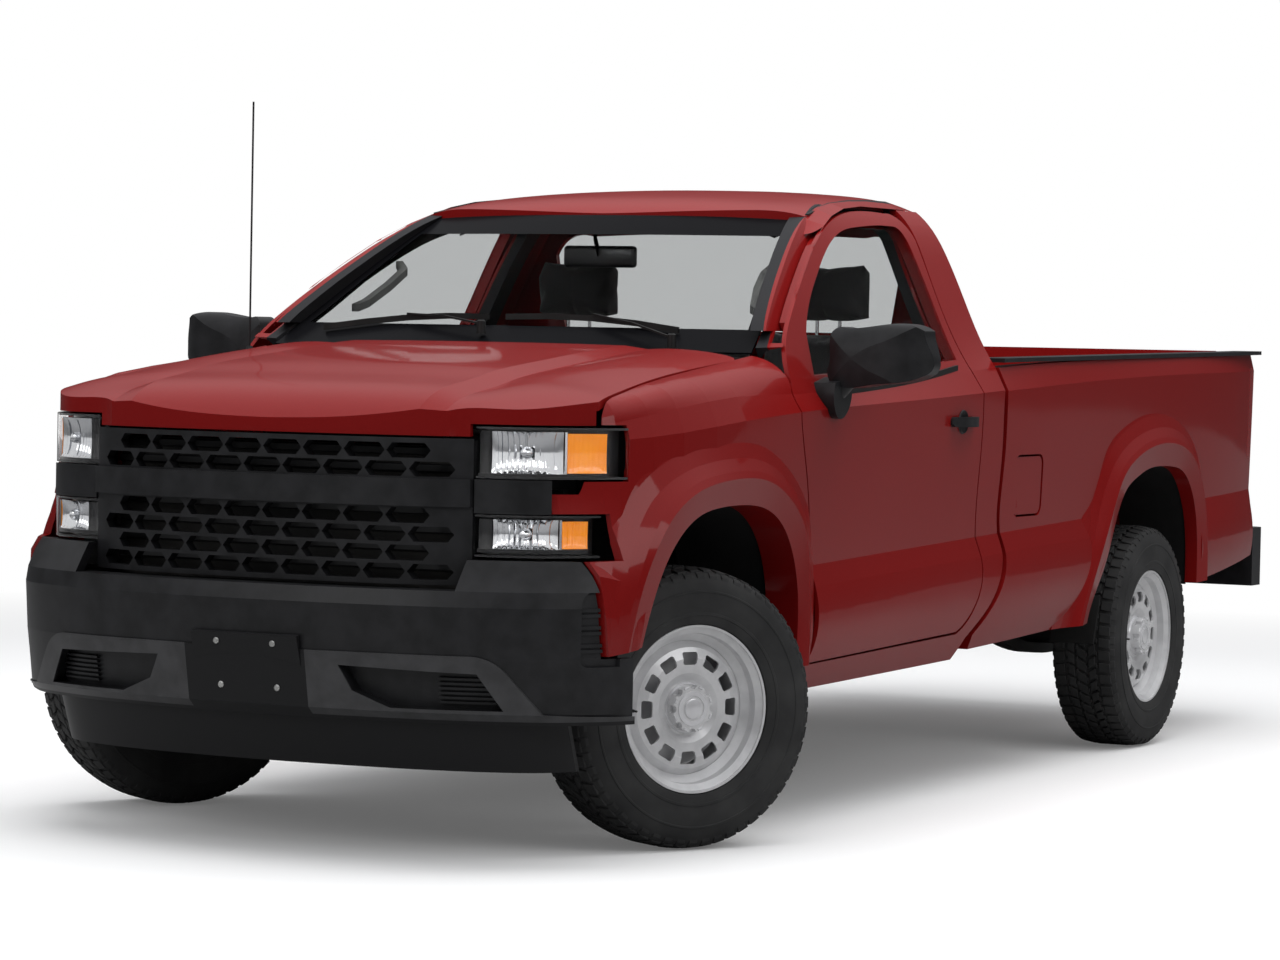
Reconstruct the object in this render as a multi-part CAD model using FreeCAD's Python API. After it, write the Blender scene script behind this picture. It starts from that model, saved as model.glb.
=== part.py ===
import FreeCAD, Part
import math
import os

Vector = FreeCAD.Vector
X_AXIS = Vector(1, 0, 0)
Y_AXIS = Vector(0, 1, 0)
Z_AXIS = Vector(0, 0, 1)
ORIGIN = Vector(0, 0, 0)

# Regular cab pickup truck. X points forward, Y to the left, Z up.
# Everything is drawn from the front axle's centre line and the ground,
# then moved so that the origin lies under the middle of the truck.
wheelbase = 3545.0
overall_length = 5829.0
front_overhang = 955.0
body_half_width = 1031.0
track_half = 868.0
rear_track_half = 865.0

# The length that every outline share is taken of
grid = 1000.0

# Gaps between panels and the overrun of cutting tools
panel_gap = 7.0
half_gap = panel_gap / 2
fit_gap = 0.3
overrun = 60.0

# Sheet and wall thicknesses
skin_depth = 12.0
door_leaf_depth = 14.0
door_box_depth = 112.0
door_frame_depth = 42.0
bed_wall_depth = 85.0
corner_depth = 60.0
hood_depth = 24.0
roof_depth = 30.0
glass_depth = 5.0
glass_recess = 6.0
floor_sheet = 20.0

# Tyres and rims
tyre_radius = 394.0
tyre_width = 255.0
tyre_bead_radius = 216.0
rim_width = 205.0
rim_flange_radius = 235.0
rim_wall = 7.0
hub_radius = 78.0
disc_radius = 165.0
disc_depth = 30.0
spindle_radius = 26.0
kingpin_offset = 75.0
kingpin_radius = 22.0
knuckle_half_height = 150.0
steer_angle = -30.4
wheel_hole_count = 12

# Ladder frame
rail_half = 430.0
rail_width = 75.0
rail_wall = 6.0

# Hinges
door_hinge_x = -628.0
door_hinge_y = 992.0
hood_hinge_x = -425.0
hood_hinge_z = 1420.0
tailgate_hinge_x = -4668.0
tailgate_hinge_z = 822.0


def spot(x_share, y_share, z_share):
    return Vector(x_share * grid, y_share * grid, z_share * grid)


def edge_through(points):
    """A straight edge through two points, a smooth one through more."""
    if len(points) == 2:
        return Part.makeLine(points[0], points[1])
    curve = Part.BSplineCurve()
    curve.interpolate(points)
    return curve.toShape()


def closed_wire(chains):
    """Chains of points that share their end points, closed by the last one."""
    return Part.Wire([edge_through(chain) for chain in chains])


def side_points(share_chains, y):
    return [[Vector(x * grid, y, z * grid) for x, z in chain] for chain in share_chains]


def plan_points(share_chains, z):
    return [[Vector(x * grid, y * grid, z) for x, y in chain] for chain in share_chains]


def grow(share_chains, distance):
    """Moves a closed outline of two-dimensional shares outward by a distance."""
    step = distance / grid
    flat = []
    for chain in share_chains:
        flat.extend(chain[:-1])
    count = len(flat)
    area = sum(flat[i][0] * flat[(i + 1) % count][1] - flat[(i + 1) % count][0] * flat[i][1]
               for i in range(count))
    turn = 1 if area > 0 else -1
    moved = []
    for i in range(count):
        before, here, after = flat[i - 1], flat[i], flat[(i + 1) % count]
        ax, ay = here[0] - before[0], here[1] - before[1]
        bx, by = after[0] - here[0], after[1] - here[1]
        a_len, b_len = math.hypot(ax, ay), math.hypot(bx, by)
        nax, nay = turn * ay / a_len, -turn * ax / a_len
        nbx, nby = turn * by / b_len, -turn * bx / b_len
        lean = 1 + nax * nbx + nay * nby
        moved.append((here[0] + step * (nax + nbx) / lean, here[1] + step * (nay + nby) / lean))
    result = []
    start = 0
    for chain in share_chains:
        span = len(chain) - 1
        result.append([moved[(start + k) % count] for k in range(span + 1)])
        start += span
    return result


def side_prism(share_chains, y_from, y_to):
    wire = closed_wire(side_points(share_chains, y_from))
    return Part.Face(wire).extrude(Vector(0, y_to - y_from, 0))


def plan_prism(share_chains, z_from, z_to):
    wire = closed_wire(plan_points(share_chains, z_from))
    return Part.Face(wire).extrude(Vector(0, 0, z_to - z_from))


def lines(points):
    """Turns a list of corners into straight closed chains."""
    return [[points[i], points[(i + 1) % len(points)]] for i in range(len(points))]


def box(x0, x1, y0, y1, z0, z1):
    return Part.makeBox(abs(x1 - x0), abs(y1 - y0), abs(z1 - z0),
                        Vector(min(x0, x1), min(y0, y1), min(z0, z1)))


def rod(start, end, radius):
    return Part.makeCylinder(radius, (end - start).Length, start, end - start)


def sheet_wire(chains, drop):
    """A station's chains closed by the same chains moved by the drop."""
    upper = [edge_through(chain) for chain in chains]
    lower = [edge_through([p + drop for p in chain]) for chain in chains]
    first, last = chains[0][0], chains[-1][-1]
    return Part.Wire(upper + [Part.makeLine(last, last + drop)]
                     + lower[::-1] + [Part.makeLine(first + drop, first)])


def skin(stations, drop):
    """A sheet lofted through stations of point chains, thickened by the drop."""
    return Part.makeLoft([sheet_wire(chains, drop) for chains in stations], True, False)


def mirrored(shape):
    return shape.mirror(ORIGIN, Y_AXIS)


def joined(shapes):
    first = shapes[0]
    if len(shapes) == 1:
        return first
    return first.fuse(shapes[1:])


def symmetric_chains(half):
    """Doubles chains that run from the centre line out, so they run right to left."""
    other = [[Vector(p.x, -p.y, p.z) for p in chain[::-1]] for chain in half[::-1]]
    if len(half[0]) > 2:
        middle = other[-1] + half[0][1:]
        return other[:-1] + [middle] + half[1:]
    return other + half


# Body side: half widths and heights at stations along the truck, from the rocker up.
# Each station is x, then (y, z) for the bottom, the rocker's edge, the lower crease,
# the top of the light band, the middle, the shoulder crease and the rail or belt.
side_station_shares = (
    (0.70, ((0.862, 0.490), (0.874, 0.570), (0.874, 0.672), (0.866, 0.790), (0.768, 0.950),
            (0.762, 1.140), (0.752, 1.178))),
    (0.66, ((0.893, 0.480), (0.906, 0.560), (0.908, 0.672), (0.900, 0.790), (0.812, 0.950),
            (0.808, 1.140), (0.798, 1.182))),
    (0.60, ((0.922, 0.470), (0.936, 0.550), (0.940, 0.674), (0.930, 0.780), (0.858, 0.950),
            (0.850, 1.142), (0.838, 1.187))),
    (0.50, ((0.945, 0.450), (0.962, 0.520), (0.970, 0.676), (0.962, 0.760), (0.916, 0.950),
            (0.905, 1.145), (0.890, 1.192))),
    (0.25, ((0.955, 0.420), (0.980, 0.480), (0.990, 0.683), (0.988, 0.742), (0.980, 0.950),
            (0.974, 1.165), (0.950, 1.230))),
    (-0.10, ((0.950, 0.400), (0.980, 0.460), (0.995, 0.693), (0.988, 0.753), (0.993, 0.960),
             (0.997, 1.195), (0.965, 1.262))),
    (-0.55, ((0.950, 0.400), (0.985, 0.465), (0.999, 0.706), (0.984, 0.767), (0.992, 0.980),
             (0.999, 1.221), (0.966, 1.270))),
    (-1.20, ((0.950, 0.402), (0.985, 0.480), (0.999, 0.724), (0.982, 0.787), (0.990, 1.000),
             (0.999, 1.244), (0.958, 1.298))),
    (-1.85, ((0.950, 0.412), (0.985, 0.500), (0.999, 0.743), (0.982, 0.807), (0.990, 1.020),
             (0.999, 1.268), (0.957, 1.338))),
    (-2.70, ((0.950, 0.455), (0.985, 0.525), (0.999, 0.768), (0.982, 0.833), (0.990, 1.040),
             (0.999, 1.300), (0.975, 1.372))),
    (-3.55, ((0.950, 0.480), (0.985, 0.550), (0.999, 0.792), (0.982, 0.858), (0.990, 1.060),
             (0.999, 1.326), (0.975, 1.392))),
    (-4.30, ((0.945, 0.500), (0.978, 0.570), (0.990, 0.813), (0.976, 0.880), (0.984, 1.080),
             (0.990, 1.338), (0.968, 1.408))),
    (-4.72, ((0.915, 0.520), (0.945, 0.590), (0.955, 0.825), (0.945, 0.892), (0.950, 1.090),
             (0.955, 1.345), (0.938, 1.414))),
)

# How the cab's side leans in above the belt: (y, z) below and at the roof's edge
cab_lean_shares = ((0.868, 1.500), (0.775, 1.700), (0.716, 1.800), (0.664, 1.852))


def side_chains(x, row):
    p = [spot(x, y, z) for y, z in row]
    return [[p[0], p[1], p[2]], [p[2], p[3]], [p[3], p[4], p[5]], [p[5], p[6]]]


def side_skin(first, last, drop):
    rows = [r for r in side_station_shares if last <= r[0] <= first]
    return skin([side_chains(x, row) for x, row in rows], drop)


def cab_side_skin(drop, sink):
    """The cab's side from the rocker to the roof's edge, sunk inward by a depth."""
    stations = []
    for x, row in side_station_shares:
        if -2.70 <= x <= -0.10:
            chains = side_chains(x, row)
            upper = [chains[-1][-1]] + [spot(x, y, z) for y, z in cab_lean_shares]
            chains.append(upper)
            stations.append([[p - Vector(0, sink, 0) for p in chain] for chain in chains])
    return skin(stations, drop)


# Outlines seen from the side, in shares of the grid length
door_outline_shares = [
    [(-0.492, 1.300), (-0.470, 1.240), (-0.482, 1.165), (-0.532, 1.019), (-0.579, 0.785),
     (-0.592, 0.640), (-0.575, 0.540), (-0.545, 0.484)],
    [(-0.545, 0.484), (-1.690, 0.512)],
    [(-1.690, 0.512), (-1.823, 0.600), (-1.871, 0.700), (-1.856, 0.798), (-1.852, 0.958),
     (-1.866, 1.118), (-1.862, 1.268), (-1.849, 1.382), (-1.851, 1.627), (-1.872, 1.756)],
    [(-1.872, 1.756), (-1.850, 1.812), (-1.760, 1.836)],
    [(-1.760, 1.836), (-1.597, 1.838), (-1.430, 1.826), (-1.281, 1.799), (-1.146, 1.758),
     (-0.893, 1.636), (-0.641, 1.484), (-0.540, 1.400), (-0.492, 1.300)],
]
window_outline_shares = [
    [(-0.672, 1.322), (-0.722, 1.444)],
    [(-0.722, 1.444), (-0.804, 1.521), (-0.937, 1.607), (-1.050, 1.670), (-1.195, 1.735),
     (-1.310, 1.767), (-1.457, 1.784), (-1.651, 1.795), (-1.742, 1.795)],
    [(-1.742, 1.795), (-1.785, 1.783), (-1.800, 1.745)],
    [(-1.800, 1.745), (-1.797, 1.560), (-1.789, 1.372)],
    [(-1.789, 1.372), (-1.280, 1.345), (-0.672, 1.322)],
]
fender_outline_shares = [
    [(0.603, 0.570), (0.612, 0.643), (0.620, 0.723), (0.634, 0.822)],
    [(0.634, 0.822), (0.536, 0.824)],
    [(0.536, 0.824), (0.536, 0.948)],
    [(0.536, 0.948), (0.674, 0.948)],
    [(0.674, 0.948), (0.674, 1.034)],
    [(0.674, 1.034), (0.468, 1.034)],
    [(0.468, 1.034), (0.462, 1.186)],
    [(0.462, 1.186), (0.540, 1.186)],
    [(0.540, 1.186), (0.500, 1.400)],
    [(0.500, 1.400), (-0.470, 1.420)],
    [(-0.470, 1.420), (-0.485, 1.310)],
    [(-0.485, 1.310), (-0.463, 1.240), (-0.475, 1.165), (-0.525, 1.019), (-0.572, 0.785),
     (-0.585, 0.640), (-0.568, 0.540), (-0.538, 0.484)],
    [(-0.538, 0.484), (-0.400, 0.480)],
    [(-0.400, 0.480), (-0.400, 0.700)],
    [(-0.400, 0.700), (0.603, 0.570)],
]
front_arch_shares = [
    [(0.500, 0.300), (0.490, 0.450), (0.464, 0.580), (0.425, 0.700), (0.380, 0.795),
     (0.312, 0.878), (0.224, 0.930), (0.080, 0.956), (-0.093, 0.959), (-0.229, 0.942),
     (-0.328, 0.899), (-0.400, 0.830), (-0.451, 0.721), (-0.458, 0.560), (-0.440, 0.300)],
    [(-0.440, 0.300), (0.500, 0.300)],
]
front_flare_shares = [
    [(0.575, 0.300), (0.562, 0.450), (0.537, 0.581), (0.494, 0.735), (0.434, 0.860),
     (0.368, 0.942), (0.264, 1.000), (0.108, 1.029), (-0.064, 1.036), (-0.226, 1.016),
     (-0.356, 0.961), (-0.458, 0.874), (-0.494, 0.720), (-0.500, 0.560), (-0.490, 0.300)],
    [(-0.490, 0.300), (0.575, 0.300)],
]
rear_arch_shares = [
    [(-2.860, 0.300), (-2.890, 0.540), (-3.004, 0.672), (-3.084, 0.808), (-3.187, 0.927),
     (-3.286, 0.967), (-3.408, 0.996), (-3.544, 1.004), (-3.684, 0.998), (-3.783, 0.978),
     (-3.870, 0.920), (-3.950, 0.800), (-3.975, 0.670), (-3.970, 0.540), (-3.960, 0.300)],
    [(-3.960, 0.300), (-2.860, 0.300)],
]
rear_flare_shares = [
    [(-2.720, 0.300), (-2.790, 0.520), (-2.906, 0.694), (-2.996, 0.828), (-3.105, 0.974),
     (-3.210, 1.030), (-3.350, 1.068), (-3.510, 1.086), (-3.660, 1.080), (-3.800, 1.045),
     (-3.920, 0.965), (-4.010, 0.830), (-4.045, 0.690), (-4.045, 0.540), (-4.030, 0.300)],
    [(-4.030, 0.300), (-2.720, 0.300)],
]
# How far out the edge of each flare stands, along the truck
front_reach_shares = ((0.80, 0.800), (0.70, 0.880), (0.60, 0.943), (0.50, 0.976), (0.40, 1.005),
                      (0.30, 1.022), (0.20, 1.029), (0.00, 1.031), (-0.30, 1.030), (-0.70, 1.018))
rear_reach_shares = ((-2.50, 1.005), (-2.80, 1.016), (-3.10, 1.029), (-3.50, 1.031), (-3.90, 1.028),
                     (-4.10, 1.012), (-4.40, 0.995))
# Rows of a flare's soft slope: distance out from its edge, what is left of its
# height over the body side, and how far it then dips below that side
flare_row_shares = ((0.0, 1.0, 0.0), (0.020, 0.80, 0.0), (0.055, 0.38, 0.0), (0.100, 0.10, 0.003),
                    (0.150, 0.0, 0.009))
flare_lip_drop = 22.0
arch_margin = 28.0
flare_sheet = 25.0
flare_block = 150.0
bedside_outline_shares = [
    [(-2.072, 1.480), (-2.068, 1.260), (-2.071, 1.083), (-2.055, 0.953), (-2.052, 0.856),
     (-2.075, 0.757), (-2.058, 0.682), (-1.998, 0.606), (-1.860, 0.500), (-1.785, 0.445)],
    [(-1.785, 0.445), (-2.240, 0.458), (-2.900, 0.480)],
    [(-2.900, 0.480), (-3.900, 0.560)],
    [(-3.900, 0.560), (-4.715, 0.640)],
    [(-4.715, 0.640), (-4.715, 1.480)],
    [(-4.715, 1.480), (-2.072, 1.480)],
]
cab_corner_shares = [
    [(-1.902, 1.900), (-1.882, 1.756), (-1.858, 1.627), (-1.856, 1.382), (-1.869, 1.268),
     (-1.873, 1.118), (-1.859, 0.958), (-1.863, 0.798), (-1.878, 0.700), (-1.832, 0.596),
     (-1.698, 0.504)],
    [(-1.698, 0.504), (-1.740, 0.450)],
    [(-1.740, 0.450), (-1.838, 0.516), (-1.975, 0.612), (-2.034, 0.690), (-2.054, 0.757), (-2.034, 0.856),
     (-2.037, 0.953), (-2.050, 1.083), (-2.047, 1.260), (-2.062, 1.400), (-2.080, 1.600),
     (-2.075, 1.760), (-2.060, 1.900)],
    [(-2.060, 1.900), (-1.902, 1.900)],
]

front_flare_base_y = 900.0
rear_flare_base_y = 955.0
left_side_far = 1100.0
left_side_near = 560.0


def between(pairs, value):
    """The second number of a table of pairs at a value of the first."""
    rows = sorted(pairs)
    if value <= rows[0][0]:
        return rows[0][1]
    for (a, b), (c, d) in zip(rows, rows[1:]):
        if value <= c:
            return b + (d - b) * (value - a) / (c - a)
    return rows[-1][1]


def body_share(x, z):
    """Half width of the body side at a place, as a share."""
    return between([(row_x, between([(h, y) for y, h in row], z)) for row_x, row in side_station_shares], x)


def flare(flare_shares, arch_shares, reach_shares, base_y):
    """A wheel opening's swelling: a turned-in lip and a slope that dies into the side."""
    curves = []
    for offset, height, dip in flare_row_shares:
        outline = grow(flare_shares, offset * grid)[0] if offset else flare_shares[0]
        points = []
        for (x, z), (edge_x, edge_z) in zip(outline, flare_shares[0]):
            side = body_share(x, z)
            edge = between(reach_shares, edge_x) - body_share(edge_x, edge_z)
            points.append(spot(x, side + height * edge - dip, z))
        curves.append(edge_through(points))
    lip = [spot(x, between(reach_shares, x), z) - Vector(0, flare_lip_drop, 0) for x, z in arch_shares[0]]
    solids = [Part.makeRuledSurface(edge_through(lip), curves[0]).extrude(Vector(0, -flare_block, 0))]
    for first, second in zip(curves, curves[1:]):
        solids.append(Part.makeRuledSurface(first, second).extrude(Vector(0, -flare_sheet, 0)))
    block = joined(solids)
    return block.common(box(-grid * 5, grid, base_y, left_side_far, 0, 2 * grid))


# Front fenders: the part above the shoulder crease, in to the hood's gap
fender_top_shares = (
    (0.70, ((0.745, 1.200), (0.735, 1.215))),
    (0.66, ((0.790, 1.205), (0.775, 1.225))),
    (0.60, ((0.825, 1.212), (0.808, 1.235))),
    (0.50, ((0.880, 1.225), (0.858, 1.252))),
    (0.25, ((0.925, 1.270), (0.838, 1.292))),
    (-0.10, ((0.930, 1.302), (0.825, 1.334))),
    (-0.55, ((0.925, 1.340), (0.832, 1.385))),
)
def faired(rows):
    """Puts a station halfway between each two, on a curve through all of them."""
    def slope(i, k, axis):
        low, high = max(i - 1, 0), min(i + 1, len(rows) - 1)
        return (rows[high][1][k][axis] - rows[low][1][k][axis]) / (rows[high][0] - rows[low][0])

    every = [rows[0]]
    for i in range(len(rows) - 1):
        (x, row), (next_x, next_row) = rows[i], rows[i + 1]
        middle = []
        for k in range(len(row)):
            place = [(row[k][axis] + next_row[k][axis]) / 2
                     + (slope(i, k, axis) - slope(i + 1, k, axis)) * (next_x - x) / 8 for axis in (0, 1)]
            middle.append(tuple(place))
        every += [((x + next_x) / 2, tuple(middle)), rows[i + 1]]
    return every


def fender_skin():
    """The side and the top as one sheet."""
    tops = dict(fender_top_shares)
    rows = [(x, row + tops[x]) for x, row in side_station_shares if x in tops]
    wires = []
    drop = Vector(0, -skin_depth, -skin_depth * 0.7)
    for x, row in faired(rows):
        chains = side_chains(x, row[:7])
        chains.append([chains[-1][-1]] + [spot(x, y, z) for y, z in row[7:]])
        wires.append(sheet_wire(chains, drop))
    return Part.makeLoft(wires, True, True)


def make_fender():
    outline = side_prism(fender_outline_shares, left_side_near, left_side_far)
    panel = fender_skin().common(outline)
    swell = flare(front_flare_shares, front_arch_shares, front_reach_shares, front_flare_base_y)
    swell = swell.common(outline)
    arch = side_prism(grow(front_arch_shares, arch_margin), left_side_near, left_side_far)
    hood_space = plan_prism(grow(both_sides(hood_outline_shares), panel_gap), grid, 2 * grid)
    return panel.cut([arch, hood_space]).fuse(swell).removeSplitter()


def make_door():
    """Outer leaf with the whole outline, a box below the belt and a window frame."""
    leaf = cab_side_skin(Vector(0, -door_leaf_depth, 0), 0)
    leaf = leaf.common(side_prism(door_outline_shares, left_side_near, left_side_far))
    inner = cab_side_skin(Vector(0, -(door_box_depth - door_leaf_depth), 0), door_leaf_depth)
    inner_outline = side_prism(grow(door_outline_shares, -door_inner_inset), left_side_near, left_side_far)
    low = box(door_box_back_x, door_box_front_x, left_side_near, left_side_far, 0, door_box_top_z)
    low_box = inner.common(inner_outline).common(low)
    frame = cab_side_skin(Vector(0, -(door_frame_depth - door_leaf_depth), 0), door_leaf_depth)
    frame_outline = side_prism(grow(door_outline_shares, -door_frame_inset), left_side_near, left_side_far)
    high = box(door_box_back_x, door_box_front_x, left_side_near, left_side_far,
               door_box_top_z, 2 * grid)
    high_frame = frame.common(frame_outline).common(high)
    window = side_prism(window_outline_shares, left_side_near, left_side_far)
    return leaf.fuse([low_box, high_frame]).cut(window).removeSplitter()


def make_door_glass():
    pane = cab_side_skin(Vector(0, -glass_depth, 0), glass_recess)
    return pane.common(side_prism(window_outline_shares, left_side_near, left_side_far))


def make_cab_corner():
    """The body-coloured panel behind the door, up to the roof."""
    sheet = cab_side_skin(Vector(0, -corner_depth, 0), 0)
    outline = side_prism(cab_corner_shares, left_side_near, left_side_far)
    outline = outline.fuse(side_prism(rocker_shares, left_side_near, left_side_far))
    return sheet.common(outline.removeSplitter())


rocker_shares = [
    [(-0.430, 0.478), (-0.538, 0.478)],
    [(-0.538, 0.478), (-1.695, 0.504)],
    [(-1.695, 0.504), (-1.800, 0.496)],
    [(-1.800, 0.496), (-1.735, 0.420)],
    [(-1.735, 0.420), (-0.450, 0.400)],
    [(-0.450, 0.400), (-0.430, 0.478)],
]
door_inner_inset = 66.0
door_frame_inset = 12.0
door_box_back_x = -2000.0
door_box_front_x = -650.0
door_box_top_z = 1300.0

# Hood: half sections from the centre line out, at stations back from the front lip
hood_station_shares = (
    (0.90, ((0.0, 1.130), (0.25, 1.130), (0.46, 1.125), (0.53, 1.110), (0.72, 1.105), (0.90, 1.090))),
    (0.84, ((0.0, 1.200), (0.25, 1.199), (0.46, 1.195), (0.53, 1.180), (0.72, 1.175), (0.90, 1.160))),
    (0.78, ((0.0, 1.246), (0.25, 1.245), (0.46, 1.240), (0.53, 1.222), (0.72, 1.205), (0.90, 1.185))),
    (0.65, ((0.0, 1.290), (0.25, 1.289), (0.46, 1.283), (0.53, 1.262), (0.72, 1.250), (0.90, 1.215))),
    (0.43, ((0.0, 1.326), (0.25, 1.325), (0.46, 1.318), (0.53, 1.298), (0.72, 1.293), (0.90, 1.252))),
    (0.16, ((0.0, 1.358), (0.25, 1.357), (0.46, 1.350), (0.53, 1.333), (0.72, 1.328), (0.90, 1.280))),
    (-0.10, ((0.0, 1.382), (0.25, 1.381), (0.46, 1.376), (0.53, 1.362), (0.72, 1.357), (0.90, 1.306))),
    (-0.37, ((0.0, 1.402), (0.25, 1.401), (0.46, 1.398), (0.53, 1.388), (0.72, 1.382), (0.90, 1.340))),
    (-0.62, ((0.0, 1.412), (0.25, 1.412), (0.46, 1.410), (0.53, 1.404), (0.72, 1.400), (0.90, 1.360))),
)
hood_outline_shares = [
    [(0.852, 0.0), (0.846, 0.200), (0.822, 0.400), (0.785, 0.540)],
    [(0.785, 0.540), (0.755, 0.604), (0.722, 0.725), (0.680, 0.782), (0.620, 0.828), (0.545, 0.862)],
    [(0.545, 0.862), (0.430, 0.846), (0.157, 0.822), (-0.100, 0.816), (-0.366, 0.822)],
    [(-0.366, 0.822), (-0.400, 0.810), (-0.412, 0.760)],
    [(-0.412, 0.760), (-0.392, 0.400), (-0.378, 0.0)],
]


hood_skirt_reach = 130.0
hood_skirt_depth = 14.0
hood_skirt_back_x = 552.0
hood_skirt_low_z = 1150.0
hood_skirt_lamp_y = 590.0
hood_skirt_lamp_z = 1184.0


def both_sides(half_chains):
    """Closes a half outline, given from the centre line round to it, over both sides."""
    other = [[(x, -y) for x, y in chain[::-1]] for chain in half_chains[::-1]]
    return half_chains + other


def section_chains(x, row):
    centre, a, b, c, d, e = [spot(x, y, z) for y, z in row]
    left = [[b, c], [c, d, e]]
    right = [[Vector(p.x, -p.y, p.z) for p in chain[::-1]] for chain in left[::-1]]
    middle = [Vector(b.x, -b.y, b.z), Vector(a.x, -a.y, a.z), centre, a, b]
    return right + [middle] + left


def make_hood():
    """A crowned sheet with a skirt that comes down to the grille and the lamps."""
    sections = [section_chains(x, row) for x, row in hood_station_shares]
    outline = both_sides(hood_outline_shares)
    sheet = skin(sections, Vector(0, 0, -hood_depth))
    under = skin(sections, Vector(0, 0, -hood_skirt_reach))
    rim = plan_prism(outline, grid, 1.6 * grid).cut(plan_prism(grow(outline, -hood_skirt_depth), grid, 1.6 * grid))
    skirt = under.common(rim).common(box(hood_skirt_back_x, grid, -grid, grid, hood_skirt_low_z, 2 * grid))
    for side in (1, -1):
        skirt = skirt.cut(box(0, grid, side * hood_skirt_lamp_y, side * grid, 0, hood_skirt_lamp_z))
    return sheet.common(plan_prism(outline, grid, 1.6 * grid)).fuse(skirt).removeSplitter()


# Roof: half sections from the centre line out, from the windscreen back
roof_station_shares = (
    (-1.080, ((0.0, 1.792), (0.25, 1.792), (0.45, 1.788), (0.58, 1.780), (0.655, 1.770))),
    (-1.125, ((0.0, 1.816), (0.25, 1.816), (0.45, 1.812), (0.58, 1.805), (0.655, 1.795))),
    (-1.200, ((0.0, 1.846), (0.25, 1.845), (0.45, 1.838), (0.58, 1.828), (0.662, 1.808))),
    (-1.380, ((0.0, 1.880), (0.25, 1.877), (0.45, 1.868), (0.58, 1.855), (0.668, 1.832))),
    (-1.600, ((0.0, 1.902), (0.25, 1.898), (0.45, 1.888), (0.58, 1.873), (0.668, 1.850))),
    (-1.850, ((0.0, 1.913), (0.25, 1.909), (0.45, 1.898), (0.58, 1.882), (0.664, 1.858))),
    (-2.000, ((0.0, 1.914), (0.25, 1.910), (0.45, 1.898), (0.58, 1.881), (0.660, 1.856))),
    (-2.085, ((0.0, 1.898), (0.25, 1.894), (0.45, 1.883), (0.58, 1.866), (0.655, 1.842))),
)


def roof_chains(x, row):
    half = [spot(x, y, z) for y, z in row]
    right = [Vector(p.x, -p.y, p.z) for p in half[:0:-1]]
    return [right + half]


roof_outline_shares = [
    [(-1.116, 0.0), (-1.141, 0.340), (-1.195, 0.668)],
    [(-1.195, 0.668), (-1.300, 0.652), (-1.430, 0.636), (-1.600, 0.626), (-1.760, 0.622),
     (-1.920, 0.619), (-2.064, 0.616)],
    [(-2.064, 0.616), (-2.064, 0.0)],
]


def make_roof():
    sheet = skin([roof_chains(x, row) for x, row in roof_station_shares], Vector(0, 0, -roof_depth))
    return sheet.common(plan_prism(both_sides(roof_outline_shares), grid, 2.2 * grid))


# Windscreen: (x, y, z) from the centre line to the edge, from the cowl up
windscreen_shares = (
    ((-0.420, 0.0, 1.385), (-0.445, 0.420, 1.385), (-0.505, 0.815, 1.385)),
    ((-0.640, 0.0, 1.525), (-0.668, 0.400, 1.523), (-0.725, 0.768, 1.518)),
    ((-0.860, 0.0, 1.661), (-0.888, 0.385, 1.659), (-0.940, 0.714, 1.652)),
    ((-1.110, 0.0, 1.806), (-1.135, 0.340, 1.804), (-1.186, 0.655, 1.793)),
)
windscreen_slope = 31.0


def glass_normal(depth):
    lean = math.radians(windscreen_slope)
    return Vector(-depth * math.sin(lean), 0, -depth * math.cos(lean))


def make_windscreen():
    rows = []
    for row in windscreen_shares:
        half = [spot(*p) for p in row]
        rows.append([Vector(p.x, -p.y, p.z) for p in half[:0:-1]] + half)
    surface = Part.BSplineSurface()
    surface.interpolate(rows)
    return surface.toShape().extrude(glass_normal(glass_depth))


# A-pillar and roof rail: the door's side and the glass or roof side, from the cowl
# up and back, with how far each side's inner face drops
pillar_shares = (
    ((-0.532, 0.905, 1.400), (-0.520, 0.822, 1.400)),
    ((-0.760, 0.838, 1.563), (-0.745, 0.772, 1.530)),
    ((-0.915, 0.800, 1.650), (-0.903, 0.732, 1.632)),
    ((-1.045, 0.766, 1.718), (-1.034, 0.699, 1.710)),
    ((-1.190, 0.733, 1.776), (-1.190, 0.664, 1.799)),
    ((-1.290, 0.712, 1.808), (-1.300, 0.650, 1.836)),
    ((-1.430, 0.690, 1.836), (-1.430, 0.634, 1.858)),
    ((-1.600, 0.672, 1.849), (-1.600, 0.624, 1.873)),
    ((-1.760, 0.667, 1.850), (-1.760, 0.620, 1.880)),
    ((-1.920, 0.662, 1.851), (-1.920, 0.617, 1.881)),
    ((-2.060, 0.660, 1.847), (-2.060, 0.614, 1.868)),
)
pillar_depth = 45.0
pillar_step = 4.0
pillar_knee_share = 0.62
pillar_edge_share = 0.25
rail_drop = 18.0
rail_start_share = -1.25


def make_pillar():
    sections = []
    for outer, inner in pillar_shares:
        a = spot(*outer) + Vector(pillar_step, 0, pillar_step)
        b = spot(*inner)
        if inner[0] > rail_start_share:
            drop = glass_normal(pillar_depth)
        else:
            drop = Vector(0, 0, -rail_drop)
        c = a + (b - a) * pillar_knee_share + drop * pillar_edge_share
        sections.append(Part.makePolygon([a, b, b + drop, c, a]))
    door_space = cab_side_skin(Vector(0, -ring_sink, 0), 0)
    door_space = door_space.common(side_prism(grow(door_outline_shares, panel_gap), left_side_near, left_side_far))
    return Part.makeLoft(sections, True, True).cut(door_space)



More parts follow.
